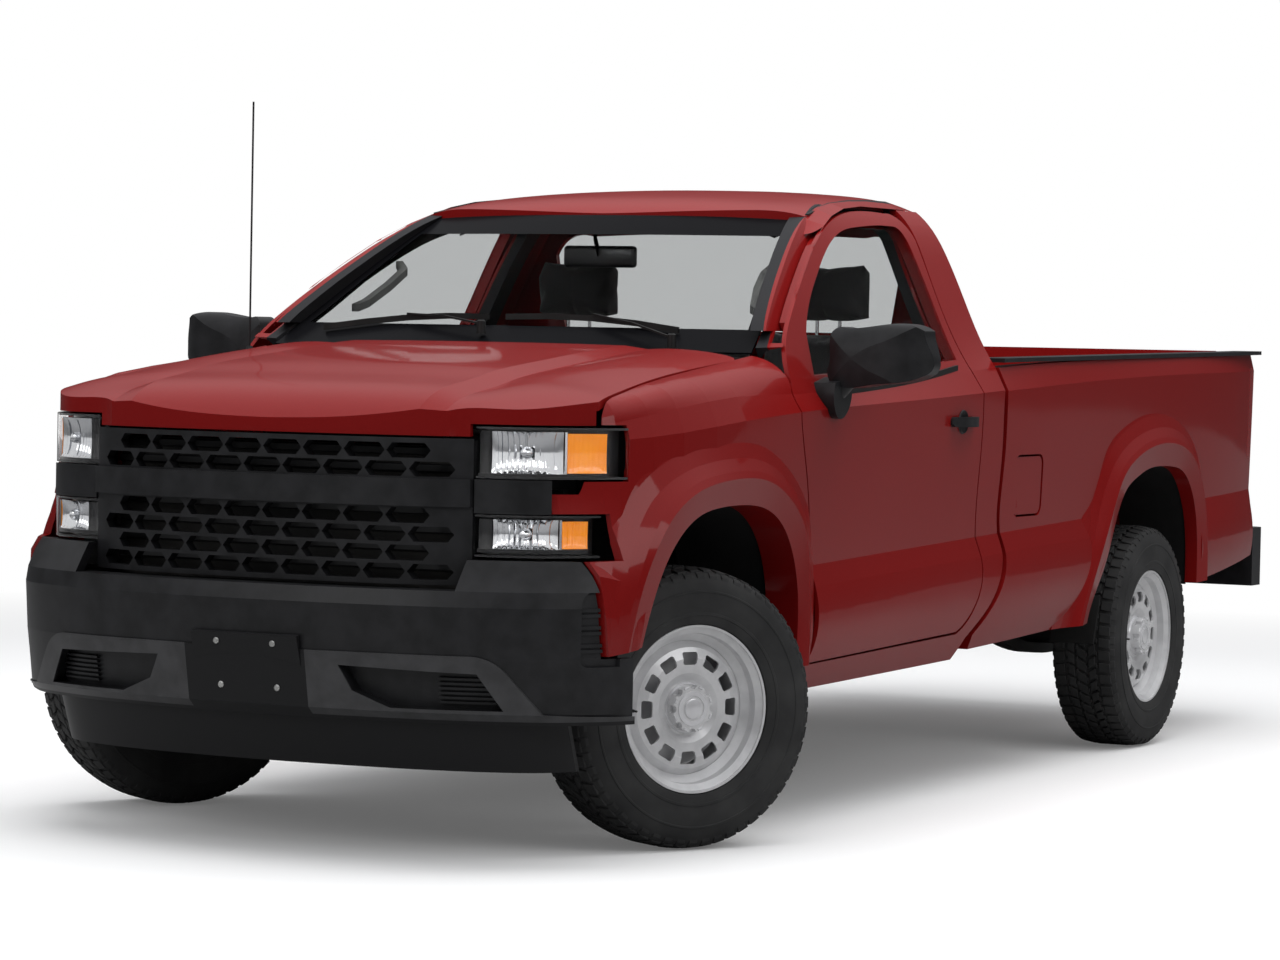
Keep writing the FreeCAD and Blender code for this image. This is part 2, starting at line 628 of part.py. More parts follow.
# Cab: what lies behind the doors
cab_floor_z = 560.0
floor_front_x = -560.0
floor_back_x = -2034.0
floor_half = 840.0
tunnel_half = 160.0
tunnel_height = 130.0
sill_inner_y = 800.0
sill_outer_y = 903.0
sill_low_z = 420.0
sill_step = 20.0
sill_back_x = -1760.0
hinge_pillar_front_x = -500.0
hinge_pillar_back_x = -640.0
hinge_pillar_outer_y = 830.0
hinge_low_z = 660.0
hinge_high_z = 1080.0
hinge_bracket_height = 80.0
hinge_bracket_depth = 7.0
hinge_bracket_outer_y = 935.0
firewall_x = -505.0
firewall_depth = 25.0
firewall_top_z = 1338.0
# Rubber mounts between the rails and the cab's floor
body_mount_shares = ((-0.850, 0.5180), (-1.900, 0.5256))
body_mount_y = 467.5
body_mount_radius = 32.0
ring_depth = 50.0
ring_sink = 48.0
ring_inset = 52.0
ring_front_x = -765.0
back_panel_x = -2038.0
back_panel_depth = 22.0
back_window_shares = [
    [(-0.600, 1.452), (-0.640, 1.700)],
    [(-0.640, 1.700), (-0.600, 1.752), (-0.500, 1.764)],
    [(-0.500, 1.764), (0.0, 1.776), (0.500, 1.764)],
    [(0.500, 1.764), (0.600, 1.752), (0.640, 1.700)],
    [(0.640, 1.700), (0.600, 1.452)],
    [(0.600, 1.452), (-0.600, 1.452)],
]
back_outline_shares = [
    [(-0.890, 0.560), (-0.925, 0.760), (-0.925, 1.240), (-0.885, 1.345)],
    [(-0.885, 1.345), (-0.800, 1.520), (-0.640, 1.820)],
    [(-0.640, 1.820), (-0.560, 1.845), (0.0, 1.868), (0.560, 1.845), (0.640, 1.820)],
    [(0.640, 1.820), (0.800, 1.520), (0.885, 1.345)],
    [(0.885, 1.345), (0.925, 1.240), (0.925, 0.760), (0.890, 0.560)],
    [(0.890, 0.560), (-0.890, 0.560)],
]


def cross_prism(share_chains, x_from, x_to):
    wire = closed_wire([[Vector(x_from, y * grid, z * grid) for y, z in chain] for chain in share_chains])
    return Part.Face(wire).extrude(Vector(x_to - x_from, 0, 0))


def make_cab_floor():
    front, back = floor_front_x, floor_back_x
    floor = box(back, front, -floor_half, floor_half, cab_floor_z - floor_sheet, cab_floor_z)
    tunnel = box(back, front, -tunnel_half, tunnel_half, cab_floor_z - floor_sheet,
                 cab_floor_z + tunnel_height)
    bore = box(back - overrun, front + overrun, -tunnel_half + floor_sheet, tunnel_half - floor_sheet,
               0, cab_floor_z + tunnel_height - floor_sheet)
    wall = box(firewall_x - firewall_depth, firewall_x, -floor_half, floor_half,
               cab_floor_z - floor_sheet, firewall_top_z)
    pieces = [floor, tunnel, wall]
    for side in (1, -1):
        sill = box(sill_back_x, hinge_pillar_front_x, side * sill_inner_y, side * floor_half,
                   sill_low_z, cab_floor_z - floor_sheet)
        step = box(sill_back_x, hinge_pillar_front_x, side * floor_half, side * sill_outer_y,
                   sill_low_z, cab_floor_z - floor_sheet - sill_step)
        post = box(hinge_pillar_back_x, hinge_pillar_front_x, side * floor_half * 0.9,
                   side * hinge_pillar_outer_y, cab_floor_z - floor_sheet, firewall_top_z)
        pieces += [sill, step, post]
        for z in (hinge_low_z, hinge_high_z):
            pieces.append(box(door_box_front_x + fit_gap, hinge_pillar_back_x + hinge_bracket_depth,
                              side * floor_half * 0.9, side * hinge_bracket_outer_y,
                              z, z + hinge_bracket_height))
        for x, z in body_mount_shares:
            foot = Vector(x * grid, side * body_mount_y, z * grid + fit_gap)
            pieces.append(rod(foot, Vector(foot.x, foot.y, cab_floor_z - floor_sheet / 2), body_mount_radius))
    return joined(pieces).cut(bore).removeSplitter()


def make_door_ring():
    """The inner frame behind the door's edge, from the sill up and over."""
    band = cab_side_skin(Vector(0, -ring_depth, 0), ring_sink)
    outer = side_prism(grow(door_outline_shares, 30.0), left_side_near - overrun, left_side_far)
    hole = side_prism(grow(door_outline_shares, -ring_inset), left_side_near - 2 * overrun, left_side_far)
    ring = band.common(outer).cut(hole)
    return ring.cut(box(ring_front_x, 0, 0, left_side_far, 0, 1.45 * grid))


def make_cab_back():
    plate = cross_prism(back_outline_shares, back_panel_x, back_panel_x + back_panel_depth)
    return plate.cut(cross_prism(back_window_shares, back_panel_x - overrun, back_panel_x + overrun * 2))


def make_back_glass():
    middle = back_panel_x + back_panel_depth / 2 - glass_depth / 2
    return cross_prism(back_window_shares, middle, middle + glass_depth)


# Load bed
bed_inner_half = 907.0
bed_floor_z = 815.0
bed_front_x = -2098.0
bed_wall = 32.0
bed_inner_length = 2494.0
bed_wall_top_z = 1362.0
wheelhouse_half = 643.0
wheelhouse_top_z = 1060.0
wheelhouse_front_x = -3040.0
wheelhouse_back_x = -4050.0
rail_cap_height = 14.0
rail_cap_inner = 880.0
bed_rib_count = 9
bed_rib_height = 12.0
bed_back_x = bed_front_x - bed_wall - bed_inner_length
# Cross sills under the bed, at the height of the rails where they lie on them
bed_sill_shares = ((-3.950, 0.700), (-4.500, 0.6868))
bed_sill_width = 60.0
bed_sill_half = 600.0


def rail_top(x):
    """The bed rail rises toward the tail."""
    start, rise = 1.3665 * grid, 0.0150
    return start - rise * (x - bed_front_x)


def make_bedside():
    rows = [r for r in side_station_shares if -4.72 <= r[0] <= -1.85]
    outer = skin([side_chains(x, row) for x, row in rows], Vector(0, -bed_wall_depth - overrun, 0))
    panel = outer.common(side_prism(bedside_outline_shares, bed_inner_half, left_side_far))
    swell = flare(rear_flare_shares, rear_arch_shares, rear_reach_shares, rear_flare_base_y)
    swell = swell.common(side_prism(bedside_outline_shares, bed_inner_half, left_side_far))
    post = box(post_front_x, -4.712 * grid, post_inner_y, bed_inner_half + 20.0, post_low_z, post_top_z)
    panel = panel.cut(side_prism(grow(rear_arch_shares, arch_margin), left_side_near, left_side_far))
    return panel.fuse([swell, post]).removeSplitter()


def make_bed_tub():
    floor = box(bed_back_x, bed_front_x, -bed_inner_half, bed_inner_half,
                bed_floor_z - floor_sheet, bed_floor_z)
    head = box(bed_front_x - bed_wall, bed_front_x, -bed_inner_half, bed_inner_half,
               bed_floor_z - 250.0, bed_wall_top_z - 6.0)
    pieces = [floor, head]
    pitch = 2 * wheelhouse_half / bed_rib_count
    for i in range(bed_rib_count):
        middle = -wheelhouse_half + pitch * (i + 0.5)
        pieces.append(box(bed_back_x, bed_front_x - bed_wall, middle - pitch * 0.3, middle + pitch * 0.3,
                          bed_floor_z, bed_floor_z + bed_rib_height))
    for side in (1, -1):
        house = box(wheelhouse_back_x, wheelhouse_front_x, side * wheelhouse_half, side * bed_inner_half,
                    bed_floor_z - floor_sheet, wheelhouse_top_z)
        hollow = box(wheelhouse_back_x + floor_sheet, wheelhouse_front_x - floor_sheet,
                     side * (wheelhouse_half + floor_sheet), side * (bed_inner_half + overrun),
                     0, wheelhouse_top_z - floor_sheet)
        pieces.append(house.cut(hollow))
    for x, z in bed_sill_shares:
        pieces.append(box(x * grid - bed_sill_width / 2, x * grid + bed_sill_width / 2, -bed_sill_half,
                          bed_sill_half, z * grid + fit_gap, bed_floor_z - floor_sheet))
    tub = joined(pieces)
    for side in (1, -1):
        tub = tub.cut(box(wheelhouse_back_x + floor_sheet, wheelhouse_front_x - floor_sheet,
                          side * (wheelhouse_half + floor_sheet), side * (bed_inner_half + overrun),
                          0, wheelhouse_top_z - floor_sheet))
    return tub.removeSplitter()


def make_rail_caps():
    back = -4.712 * grid
    profile = [(bed_front_x + 26.0, rail_top(bed_front_x + 26.0)), (back, rail_top(back))]
    (x0, z0), (x1, z1) = profile
    wire = Part.makePolygon([Vector(x0, rail_cap_inner, z0), Vector(x1, rail_cap_inner, z1),
                             Vector(x1, rail_cap_inner, z1 + rail_cap_height),
                             Vector(x0, rail_cap_inner, z0 + rail_cap_height),
                             Vector(x0, rail_cap_inner, z0)])
    cap = Part.Face(wire).extrude(Vector(0, 0.985 * grid - rail_cap_inner, 0))
    return cap


# Tailgate
tailgate_half = 800.0
tailgate_low_z = 802.0
tailgate_top_z = 1418.0
tailgate_outer_x = -4722.0
tailgate_depth = 68.0
trunnion_radius = 11.0
post_inner_y = 812.0
post_front_x = -4630.0
post_low_z = 660.0
post_top_z = 1385.0


def make_tailgate():
    slab = box(tailgate_outer_x, tailgate_outer_x + tailgate_depth, -tailgate_half, tailgate_half,
               tailgate_low_z, tailgate_top_z)
    panel = box(tailgate_outer_x - overrun, tailgate_outer_x + 10.0, -tailgate_half + 90.0,
                tailgate_half - 90.0, tailgate_low_z + 110.0, tailgate_top_z - 190.0)
    pins = [rod(Vector(tailgate_hinge_x, side * tailgate_half, tailgate_hinge_z),
                Vector(tailgate_hinge_x, side * (post_inner_y - fit_gap), tailgate_hinge_z), trunnion_radius)
            for side in (1, -1)]
    return slab.cut(panel).fuse(pins)


# Tail lamps stand in the bedside's rear corner
lamp_low_z = 1010.0
lamp_top_z = 1355.0
lamp_inner_y = 812.0
lamp_depth = 70.0


def make_tail_lamp(bedside_block):
    return bedside_block.common(box(-4.8 * grid, -4.8 * grid + 150.0, lamp_inner_y, left_side_far,
                                    lamp_low_z, lamp_top_z))


# Front end. The lamps' plan curve runs from the grille round to the fender.
corner_plan_shares = [(0.753, 0.604), (0.745, 0.660), (0.720, 0.735), (0.680, 0.790), (0.620, 0.838),
                      (0.550, 0.880)]
corner_tail_shares = [(0.550, 0.880), (0.470, 0.918)]
lamp_upper_low_z = 1040.0
lamp_upper_top_z = 1178.0
lamp_lower_low_z = 830.0
lamp_lower_top_z = 943.0
lamp_housing_depth = 75.0
lens_depth = 4.0
lamp_shell = 3.0


def corner_band(tail, depth, sink, z_from, z_to):
    """A band that follows the front corner in plan, a depth thick."""
    curve = corner_plan_shares + (corner_tail_shares[1:] if tail else [])
    inner = []
    outer = []
    for i, (x, y) in enumerate(curve):
        ax, ay = curve[max(i - 1, 0)]
        bx, by = curve[min(i + 1, len(curve) - 1)]
        run = math.hypot(bx - ax, by - ay)
        nx, ny = (by - ay) / run, -(bx - ax) / run
        outer.append(Vector(x * grid - nx * sink, y * grid - ny * sink, z_from))
        inner.append(Vector(x * grid - nx * (sink + depth), y * grid - ny * (sink + depth), z_from))
    wire = Part.Wire([edge_through(outer), Part.makeLine(outer[-1], inner[-1]),
                      edge_through(inner[::-1]), Part.makeLine(inner[0], outer[0])])
    return Part.Face(wire).extrude(Vector(0, 0, z_to - z_from))


def make_lamp_lenses():
    upper = corner_band(True, lens_depth, 0, lamp_upper_low_z, lamp_upper_top_z)
    lower = corner_band(False, lens_depth, 0, lamp_lower_low_z, lamp_lower_top_z)
    return upper, lower


def make_lamp_bodies():
    bodies = []
    for tail, low, top in ((True, lamp_upper_low_z, lamp_upper_top_z),
                           (False, lamp_lower_low_z, lamp_lower_top_z)):
        block = corner_band(tail, lamp_housing_depth, lens_depth, low, top)
        hollow = corner_band(tail, lamp_housing_depth * 0.6, lens_depth - lamp_shell,
                             low + lamp_shell * 2, top - lamp_shell * 2)
        bodies.append(block.cut(hollow))
    return bodies


# Grille: plan curve, cells and the blank bar across it
grille_plan_shares = [(0.858, 0.0), (0.852, 0.200), (0.830, 0.400), (0.795, 0.520), (0.757, 0.600)]
grille_low_z = 752.0
grille_top_z = 1144.0
grille_depth = 34.0
grille_back = 90.0
bar_low_z = 962.0
bar_top_z = 1036.0
bar_proud = 16.0
bar_end_z_gap = 3.0
cell_columns = 9
cell_rows_above = 2
cell_rows_below = 4
cell_wall = 9.0
cell_half_span = 560.0
finger_end_x = 681.0


def half_band(curve, depth, z_from, z_to, proud):
    outer = [Vector(x * grid + proud, y * grid, z_from) for x, y in curve]
    inner = [p - Vector(depth + proud, 0, 0) for p in outer]
    full_outer = [Vector(p.x, -p.y, p.z) for p in outer[:0:-1]] + outer
    full_inner = [Vector(p.x, -p.y, p.z) for p in inner[:0:-1]] + inner
    wire = Part.Wire([edge_through(full_outer), Part.makeLine(full_outer[-1], full_inner[-1]),
                      edge_through(full_inner[::-1]), Part.makeLine(full_inner[0], full_outer[0])])
    return Part.Face(wire).extrude(Vector(0, 0, z_to - z_from))


def hexagon(y, z, half_width, half_height):
    """A cell, long across, pointed at both ends."""
    tip = half_height * 0.8
    corners = [(y - half_width, z), (y - half_width + tip, z + half_height),
               (y + half_width - tip, z + half_height), (y + half_width, z),
               (y + half_width - tip, z - half_height), (y - half_width + tip, z - half_height)]
    points = [Vector(0, cy, cz) for cy, cz in corners]
    return Part.Face(Part.makePolygon(points + points[:1])).extrude(Vector(grid, 0, 0))


def make_grille():
    plate = half_band(grille_plan_shares, grille_depth, grille_low_z, grille_top_z, 0)
    cells = []
    pitch = 2 * cell_half_span / cell_columns
    for low, top, rows in ((grille_low_z + cell_wall, bar_low_z, cell_rows_below),
                           (bar_top_z, grille_top_z - cell_wall, cell_rows_above)):
        rise = (top - low) / rows
        for row in range(rows):
            shift = 0.5 * (row % 2)
            for column in range(cell_columns - row % 2):
                y = -cell_half_span + pitch * (column + 0.5 + shift)
                cells.append(hexagon(y, low + rise * (row + 0.5), pitch / 2 - cell_wall / 4,
                                     rise / 2 - cell_wall / 2))
    plate = plate.cut(Part.makeCompound(cells))
    bar = half_band(grille_plan_shares, grille_depth, bar_low_z, bar_top_z, bar_proud)
    fingers = [corner_band(False, lamp_housing_depth, -bar_proud * 0.4, lamp_lower_top_z + bar_end_z_gap,
                           lamp_upper_low_z - bar_end_z_gap)]
    fingers[0] = fingers[0].cut(box(0, finger_end_x, 0, grid, 0, 2 * grid))
    fingers.append(mirrored(fingers[0]))
    return plate.fuse([bar] + fingers).removeSplitter()


# Carrier behind the grille: radiator block and lamp brackets
carrier_back_x = 560.0
carrier_front_x = 700.0
carrier_half = 560.0
carrier_low_z = 610.0
carrier_top_z = 1120.0
# Rubber stops that the shut hood rests on
hood_stop_x = 650.0
hood_stop_y = 460.0
hood_stop_top_z = 1255.0
hood_stop_radius = 10.0


def make_front_carrier():
    """The radiator's block, the rails beside the bay and the lamps' brackets."""
    pieces = [box(carrier_back_x, carrier_front_x, -carrier_half, carrier_half, carrier_low_z, carrier_top_z)]
    for side in (1, -1):
        pieces.append(box(-0.48 * grid, carrier_front_x - overrun, side * carrier_half, side * (carrier_half + 40.0),
                          carrier_low_z + 180.0, carrier_low_z + 280.0))
        pieces.append(box(carrier_back_x, carrier_back_x + 40.0, side * carrier_half, side * 790.0,
                          960.0, 1010.0))
        foot = Vector(hood_stop_x, side * hood_stop_y, carrier_top_z)
        pieces.append(rod(foot, foot + Z_AXIS * (hood_stop_top_z - carrier_top_z), hood_stop_radius))
    return Part.makeCompound(pieces)


# Front bumper: plan curve at each height
bumper_plan_shares = [(0.945, 0.0), (0.940, 0.200), (0.922, 0.350), (0.885, 0.550), (0.835, 0.690),
                      (0.770, 0.810), (0.690, 0.890), (0.600, 0.937), (0.500, 0.965)]
bumper_level_shares = ((0.385, -0.075), (0.415, -0.040), (0.565, -0.012), (0.700, 0.0), (0.742, -0.012))
bumper_corner_level_shares = ((0.742, -0.012), (0.785, -0.045), (0.822, -0.075))
bumper_fade_share = 0.2
bumper_back_x = 500.0
bumper_wall = 22.0
bumper_corner_inner_y = 605.0
bumper_top_back_x = 790.0
bumper_top_low_z = 700.0


bumper_end_x = 508.0
nose_inner_y = 800.0
fender_nose_shares = [
    [(0.603, 0.570), (0.612, 0.643), (0.620, 0.723), (0.634, 0.822)],
    [(0.634, 0.822), (0.400, 0.900)],
    [(0.400, 0.900), (0.400, 0.570)],
    [(0.400, 0.570), (0.603, 0.570)],
]
vent_depth = 9.0
vent_rib_height = 9.0
vent_rib_shares = (0.695, 0.680, 0.648, 0.633, 0.600, 0.585)
vent_shares = [
    [(0.560, 0.760), (0.616, 0.752)],
    [(0.616, 0.752), (0.676, 0.722), (0.682, 0.700)],
    [(0.682, 0.700), (0.677, 0.570)],
    [(0.677, 0.570), (0.670, 0.548), (0.652, 0.542)],
    [(0.652, 0.542), (0.560, 0.542)],
    [(0.560, 0.542), (0.560, 0.760)],
]
# Fog recess, seen from the front
fog_shares = [
    [(0.286, 0.534), (0.662, 0.523)],
    [(0.662, 0.523), (0.722, 0.424)],
    [(0.722, 0.424), (0.425, 0.424)],
    [(0.425, 0.424), (0.321, 0.466)],
    [(0.321, 0.466), (0.286, 0.534)],
]
pocket_wall = 6.0
bumper_bracket_low_z = 545.0
bumper_bracket_top_z = 595.0
pocket_depth = 48.0
fog_slat_inner_y = 545.0
fog_slat_outer_y = 690.0
fog_slat_low_z = 436.0
fog_slat_top_z = 512.0
fog_slat_count = 6
fog_slat_sink = 30.0


def bumper_layer(first, second):
    """The layer of the bumper's form between two depths."""
    return bumper_block(bumper_level_shares, first).cut(bumper_block(bumper_level_shares, second))


def bumper_block(levels, sink):
    wires = []
    end_share = bumper_plan_shares[-1][0]
    for z, push in levels:
        half = []
        for x, y in bumper_plan_shares:
            moved = x + push * min(1, (x - end_share) / bumper_fade_share)
            half.append(Vector(moved * grid - sink, y * grid - sink * (y > 0.8), z * grid))
        full = [Vector(p.x, -p.y, p.z) for p in half[:0:-1]] + half
        back_left = Vector(bumper_back_x - overrun - sink, full[-1].y, z * grid)
        back_right = Vector(back_left.x, -back_left.y, z * grid)
        wires.append(Part.Wire([edge_through(full), Part.makeLine(full[-1], back_left),
                                Part.makeLine(back_left, back_right), Part.makeLine(back_right, full[0])]))
    return Part.makeLoft(wires, True, True)


def make_front_bumper():
    outer = bumper_block(bumper_level_shares, 0)
    levels = [(z, push) for z, push in bumper_level_shares]
    hollow = bumper_block(levels, bumper_wall).cut(box(0, grid, -grid, grid, 0.72 * grid, grid))
    shell = outer.cut(hollow)
    horn = bumper_block(bumper_corner_level_shares, 0)
    horn = horn.cut(bumper_block(bumper_corner_level_shares, bumper_wall * 2))
    horn = horn.cut(box(0, grid, -bumper_corner_inner_y, bumper_corner_inner_y, 0, grid))
    shell = shell.fuse(horn)
    nose = grow(fender_nose_shares, panel_gap)
    shell = shell.cut(box(-grid, bumper_end_x, -left_side_far, left_side_far, 0, grid))
    shell = shell.cut(box(0, bumper_top_back_x, -bumper_corner_inner_y, bumper_corner_inner_y,
                          bumper_top_low_z, grid))
    vent = bumper_layer(-fit_gap, vent_depth).common(side_prism(vent_shares, nose_inner_y, left_side_far))
    ribs = []
    for z in vent_rib_shares:
        rib = box(bumper_end_x, grid, nose_inner_y, left_side_far, z * grid - vent_rib_height / 2,
                  z * grid + vent_rib_height / 2)
        ribs.append(bumper_layer(vent_depth / 2, bumper_wall / 2).common(side_prism(vent_shares, nose_inner_y,
                                                                                left_side_far)).common(rib))
    recess = cross_prism(fog_shares, 0, grid)
    around = cross_prism(grow(fog_shares, pocket_wall), 0, grid)
    pocket = bumper_layer(bumper_wall / 2, pocket_depth).common(around.cut(recess))
    pocket = pocket.fuse(bumper_layer(pocket_depth - pocket_wall, pocket_depth).common(around))
    horn_box = box(rail_top_shares[0][0] * grid + fit_gap, grid, rail_half, rail_half + rail_width,
                   bumper_bracket_low_z, bumper_bracket_top_z)
    horn_box = horn_box.common(bumper_block(bumper_level_shares, bumper_wall / 2))
    slats = []
    rise = (fog_slat_top_z - fog_slat_low_z) / fog_slat_count
    for i in range(fog_slat_count):
        z = fog_slat_low_z + rise * (i + 0.5)
        slat = box(0, grid, fog_slat_inner_y, fog_slat_outer_y, z - rise / 4, z + rise / 4)
        slats.append(bumper_layer(fog_slat_sink, pocket_depth).common(recess).common(slat))
    for turn in (lambda shape: shape, mirrored):
        shell = shell.cut([turn(vent), turn(recess)])
        shell = shell.fuse([turn(pocket), turn(horn_box)] + [turn(rib) for rib in ribs]
                           + [turn(slat) for slat in slats])
        shell = shell.cut(turn(side_prism(nose, nose_inner_y, left_side_far)))
    return shell.removeSplitter()


# Lower trim: air dam under the bumper and the blank plate's bracket
dam_low_z = 250.0
dam_plan_shares = [(0.845, 0.0), (0.838, 0.200), (0.815, 0.420), (0.765, 0.620), (0.700, 0.745),
                   (0.600, 0.815)]
dam_depth = 18.0
dam_sweep = 55.0
bracket_width = 336.0
bracket_height = 176.0
bracket_depth = 12.0
bracket_middle_y = 9.0
bracket_middle_z = 522.0
bracket_tilt = 18.0
bezel_depth = 6.0
bezel_shares = [
    [(0.0, 0.571), (0.270, 0.571), (0.651, 0.570)],
    [(0.651, 0.570), (0.700, 0.556), (0.736, 0.524)],
    [(0.736, 0.524), (0.812, 0.416)],
    [(0.812, 0.416), (1.100, 0.398)],
    [(1.100, 0.398), (1.100, 0.370)],
    [(1.100, 0.370), (0.0, 0.370)],
    [(0.0, 0.370), (0.0, 0.571)],
]


def make_front_lower_trim():
    wires = []
    for z, push in ((dam_low_z, -dam_sweep), (0.385 * grid, 0)):
        half = [Vector(x * grid + push, y * grid, z) for x, y in dam_plan_shares]
        full = [Vector(p.x, -p.y, p.z) for p in half[:0:-1]] + half
        inner = [p - Vector(dam_depth, 0, 0) for p in full]
        wires.append(Part.Wire([edge_through(full), Part.makeLine(full[-1], inner[-1]),
                                edge_through(inner[::-1]), Part.makeLine(inner[0], full[0])]))
    dam = Part.makeLoft(wires, True, True)
    lean = math.radians(bracket_tilt)
    front = front_overhang - bracket_height / 2 * math.sin(lean)
    plate = box(-overrun * 2, 0, bracket_middle_y - bracket_width / 2, bracket_middle_y + bracket_width / 2,
                -bracket_height / 2, bracket_height / 2)
    plate.rotate(ORIGIN, Y_AXIS, bracket_tilt)
    plate.translate(Vector(front, 0, bracket_middle_z))
    plate = plate.cut(bumper_block(bumper_level_shares, -bezel_depth - fit_gap))
    bezel = bumper_layer(-bezel_depth, -fit_gap).common(cross_prism(bezel_shares, 0, grid))
    bezel = bezel.cut(cross_prism(fog_shares, 0, grid)).cut(box(-grid, bumper_end_x, 0, left_side_far, 0, grid))
    bezel = bezel.fuse(mirrored(bezel)).removeSplitter()
    return Part.makeCompound([dam, max(plate.Solids, key=lambda solid: solid.Volume), bezel])


# Rear bumper with a step
rear_bumper_x = -4889.0 + 15.0
rear_bumper_front_x = -4735.0
rear_bumper_half = 960.0
rear_bumper_low_z = 520.0
rear_bumper_top_z = 742.0


def make_rear_bumper():
    back = overall_length * -1 + front_overhang
    body = box(back, rear_bumper_front_x, -rear_bumper_half, rear_bumper_half,
               rear_bumper_low_z, rear_bumper_top_z)
    body = body.makeFillet(45.0, [e for e in body.Edges
                                  if abs(e.Vertexes[0].X - back) < 1 and abs(e.Vertexes[-1].X - back) < 1
                                  and abs(e.Vertexes[0].Y - e.Vertexes[-1].Y) < 1])
    pad = box(back, rear_bumper_front_x, -0.36 * grid, 0.36 * grid, rear_bumper_top_z - 40.0,
              rear_bumper_top_z + overrun)
    return body.cut(pad)


# Ladder frame: side view of a rail, top line then bottom line
rail_top_shares = [(0.80, 0.600), (0.30, 0.620), (-0.15, 0.615), (-0.48, 0.515), (-2.55, 0.530),
                   (-3.05, 0.665), (-3.95, 0.700), (-4.735, 0.680)]
rail_low_shares = [(-4.735, 0.580), (-3.98, 0.585), (-3.08, 0.545), (-2.58, 0.390), (-0.48, 0.375),
                   (-0.15, 0.490), (0.30, 0.490), (0.80, 0.490)]
crossmember_shares = [(0.62, 0.520), (0.00, 0.495), (-1.10, 0.362), (-2.05, 0.360), (-3.10, 0.580),
                      (-4.00, 0.610), (-4.66, 0.600)]
crossmember_size = 70.0
leaf_y = 545.0
leaf_width = 64.0
leaf_depth = 36.0
leaf_front_x = -2870.0
leaf_back_x = -4330.0
leaf_end_z = 520.0
axle_radius = 44.0
leaf_low_z = tyre_radius - axle_radius - leaf_depth - fit_gap
diff_radius = 150.0
arm_half_width = 28.0
arm_spread = 150.0
arm_thickness = 30.0
arm_low_z = 262.0
arm_high_z = 528.0
kingpin_y = track_half - kingpin_offset
ball_radius = 20.0
coil_radius = 55.0


def make_frame():
    """Rails with their towers, crossmembers between them, leaf springs and arms."""
    pieces = []
    flat = [(x * grid, z * grid) for x, z in rail_top_shares + rail_low_shares]
    points = [Vector(x, rail_half, z) for x, z in flat]
    rail_outer = rail_half + rail_width
    for x, z in crossmember_shares:
        pieces.append(box(x * grid - crossmember_size / 2, x * grid + crossmember_size / 2,
                          -rail_half, rail_half, z * grid, z * grid + crossmember_size))
    for side in (1, -1):
        start = [Vector(p.x, side * p.y, p.z) for p in points]
        rail = Part.Face(Part.makePolygon(start + start[:1])).extrude(Vector(0, side * rail_width, 0))
        mount = box(-arm_spread, arm_spread, side * (rail_half + rail_width / 2), side * rail_outer,
                    arm_low_z, arm_high_z + arm_thickness)
        tower = box(-80.0, 80.0, side * (rail_outer - 5.0), side * 640.0,
                    arm_high_z + 200.0, arm_high_z + 215.0)
        web = box(-80.0, 80.0, side * (rail_outer - 15.0), side * rail_outer,
                  arm_high_z, arm_high_z + 215.0)
        pieces.append(joined([rail, mount, web, tower]))
        top = [Vector(leaf_front_x, 0, leaf_end_z), Vector(-wheelbase, 0, leaf_low_z + leaf_depth),
               Vector(leaf_back_x, 0, leaf_end_z)]
        low = [p - Vector(0, 0, leaf_depth) for p in top]
        wire = Part.Wire([edge_through(top), Part.makeLine(top[2], low[2]), edge_through(low[::-1]),
                          Part.makeLine(low[0], top[0])])
        leaf = Part.Face(wire).extrude(Vector(0, leaf_width, 0))
        leaf.translate(Vector(0, side * leaf_y - leaf_width / 2, 0))
        hangers = [box(x - 35.0, x + 35.0, side * rail_outer, side * (leaf_y + leaf_width / 2),
                       leaf_end_z - leaf_depth - 20.0, leaf_end_z + 60.0)
                   for x in (leaf_front_x, leaf_back_x)]
        pieces.append(joined([leaf] + hangers))
        arms = []
        for z in (arm_low_z, arm_high_z):
            corners = [Vector(arm_half_width, side * kingpin_y, z),
                       Vector(-arm_half_width, side * kingpin_y, z),
                       Vector(-arm_spread, side * rail_outer, z),
                       Vector(arm_spread, side * rail_outer, z)]
            arm = Part.Face(Part.makePolygon(corners + corners[:1])).extrude(Vector(0, 0, arm_thickness))
            hole = Part.makeCylinder(ball_radius + fit_gap, arm_thickness * 3,
                                     Vector(0, side * kingpin_y, z - arm_thickness))
            arms.append(arm.cut(hole))
        coil = rod(Vector(0, side * 600.0, arm_low_z + arm_thickness),
                   Vector(0, side * 565.0, arm_high_z + 200.0), coil_radius)
        pieces += [arms[0], joined([arms[1], coil])]
    return pieces


def make_rear_axle():
    centre = Vector(-wheelbase, 0, tyre_radius)
    reach = rear_track_half - disc_depth - fit_gap
    tube = rod(centre - Y_AXIS * reach, centre + Y_AXIS * reach, axle_radius)
    diff = Part.makeSphere(diff_radius, centre)
    pieces = [tube, diff]
    for side in (1, -1):
        pieces.append(rod(centre + Y_AXIS * side * (reach - 45.0),
                          centre + Y_AXIS * side * reach, disc_radius - 10.0))
    shaft = rod(Vector(-wheelbase + diff_radius * 0.8, 0, tyre_radius + 20.0), Vector(-1.382 * grid, 0, 0.52 * grid), 38.0)
    pieces.append(shaft)
    return joined(pieces)


# One plain block each for the engine and the gearbox
engine_shares = (-0.42, 0.38, -0.29, 0.29, 0.58, 1.14)
gearbox_shares = (-1.38, -0.42, -0.13, 0.13, 0.44, 0.66)


def make_engine():
    a = [v * grid for v in engine_shares]
    b = [v * grid for v in gearbox_shares]
    return box(*a).fuse(box(*b)).removeSplitter()


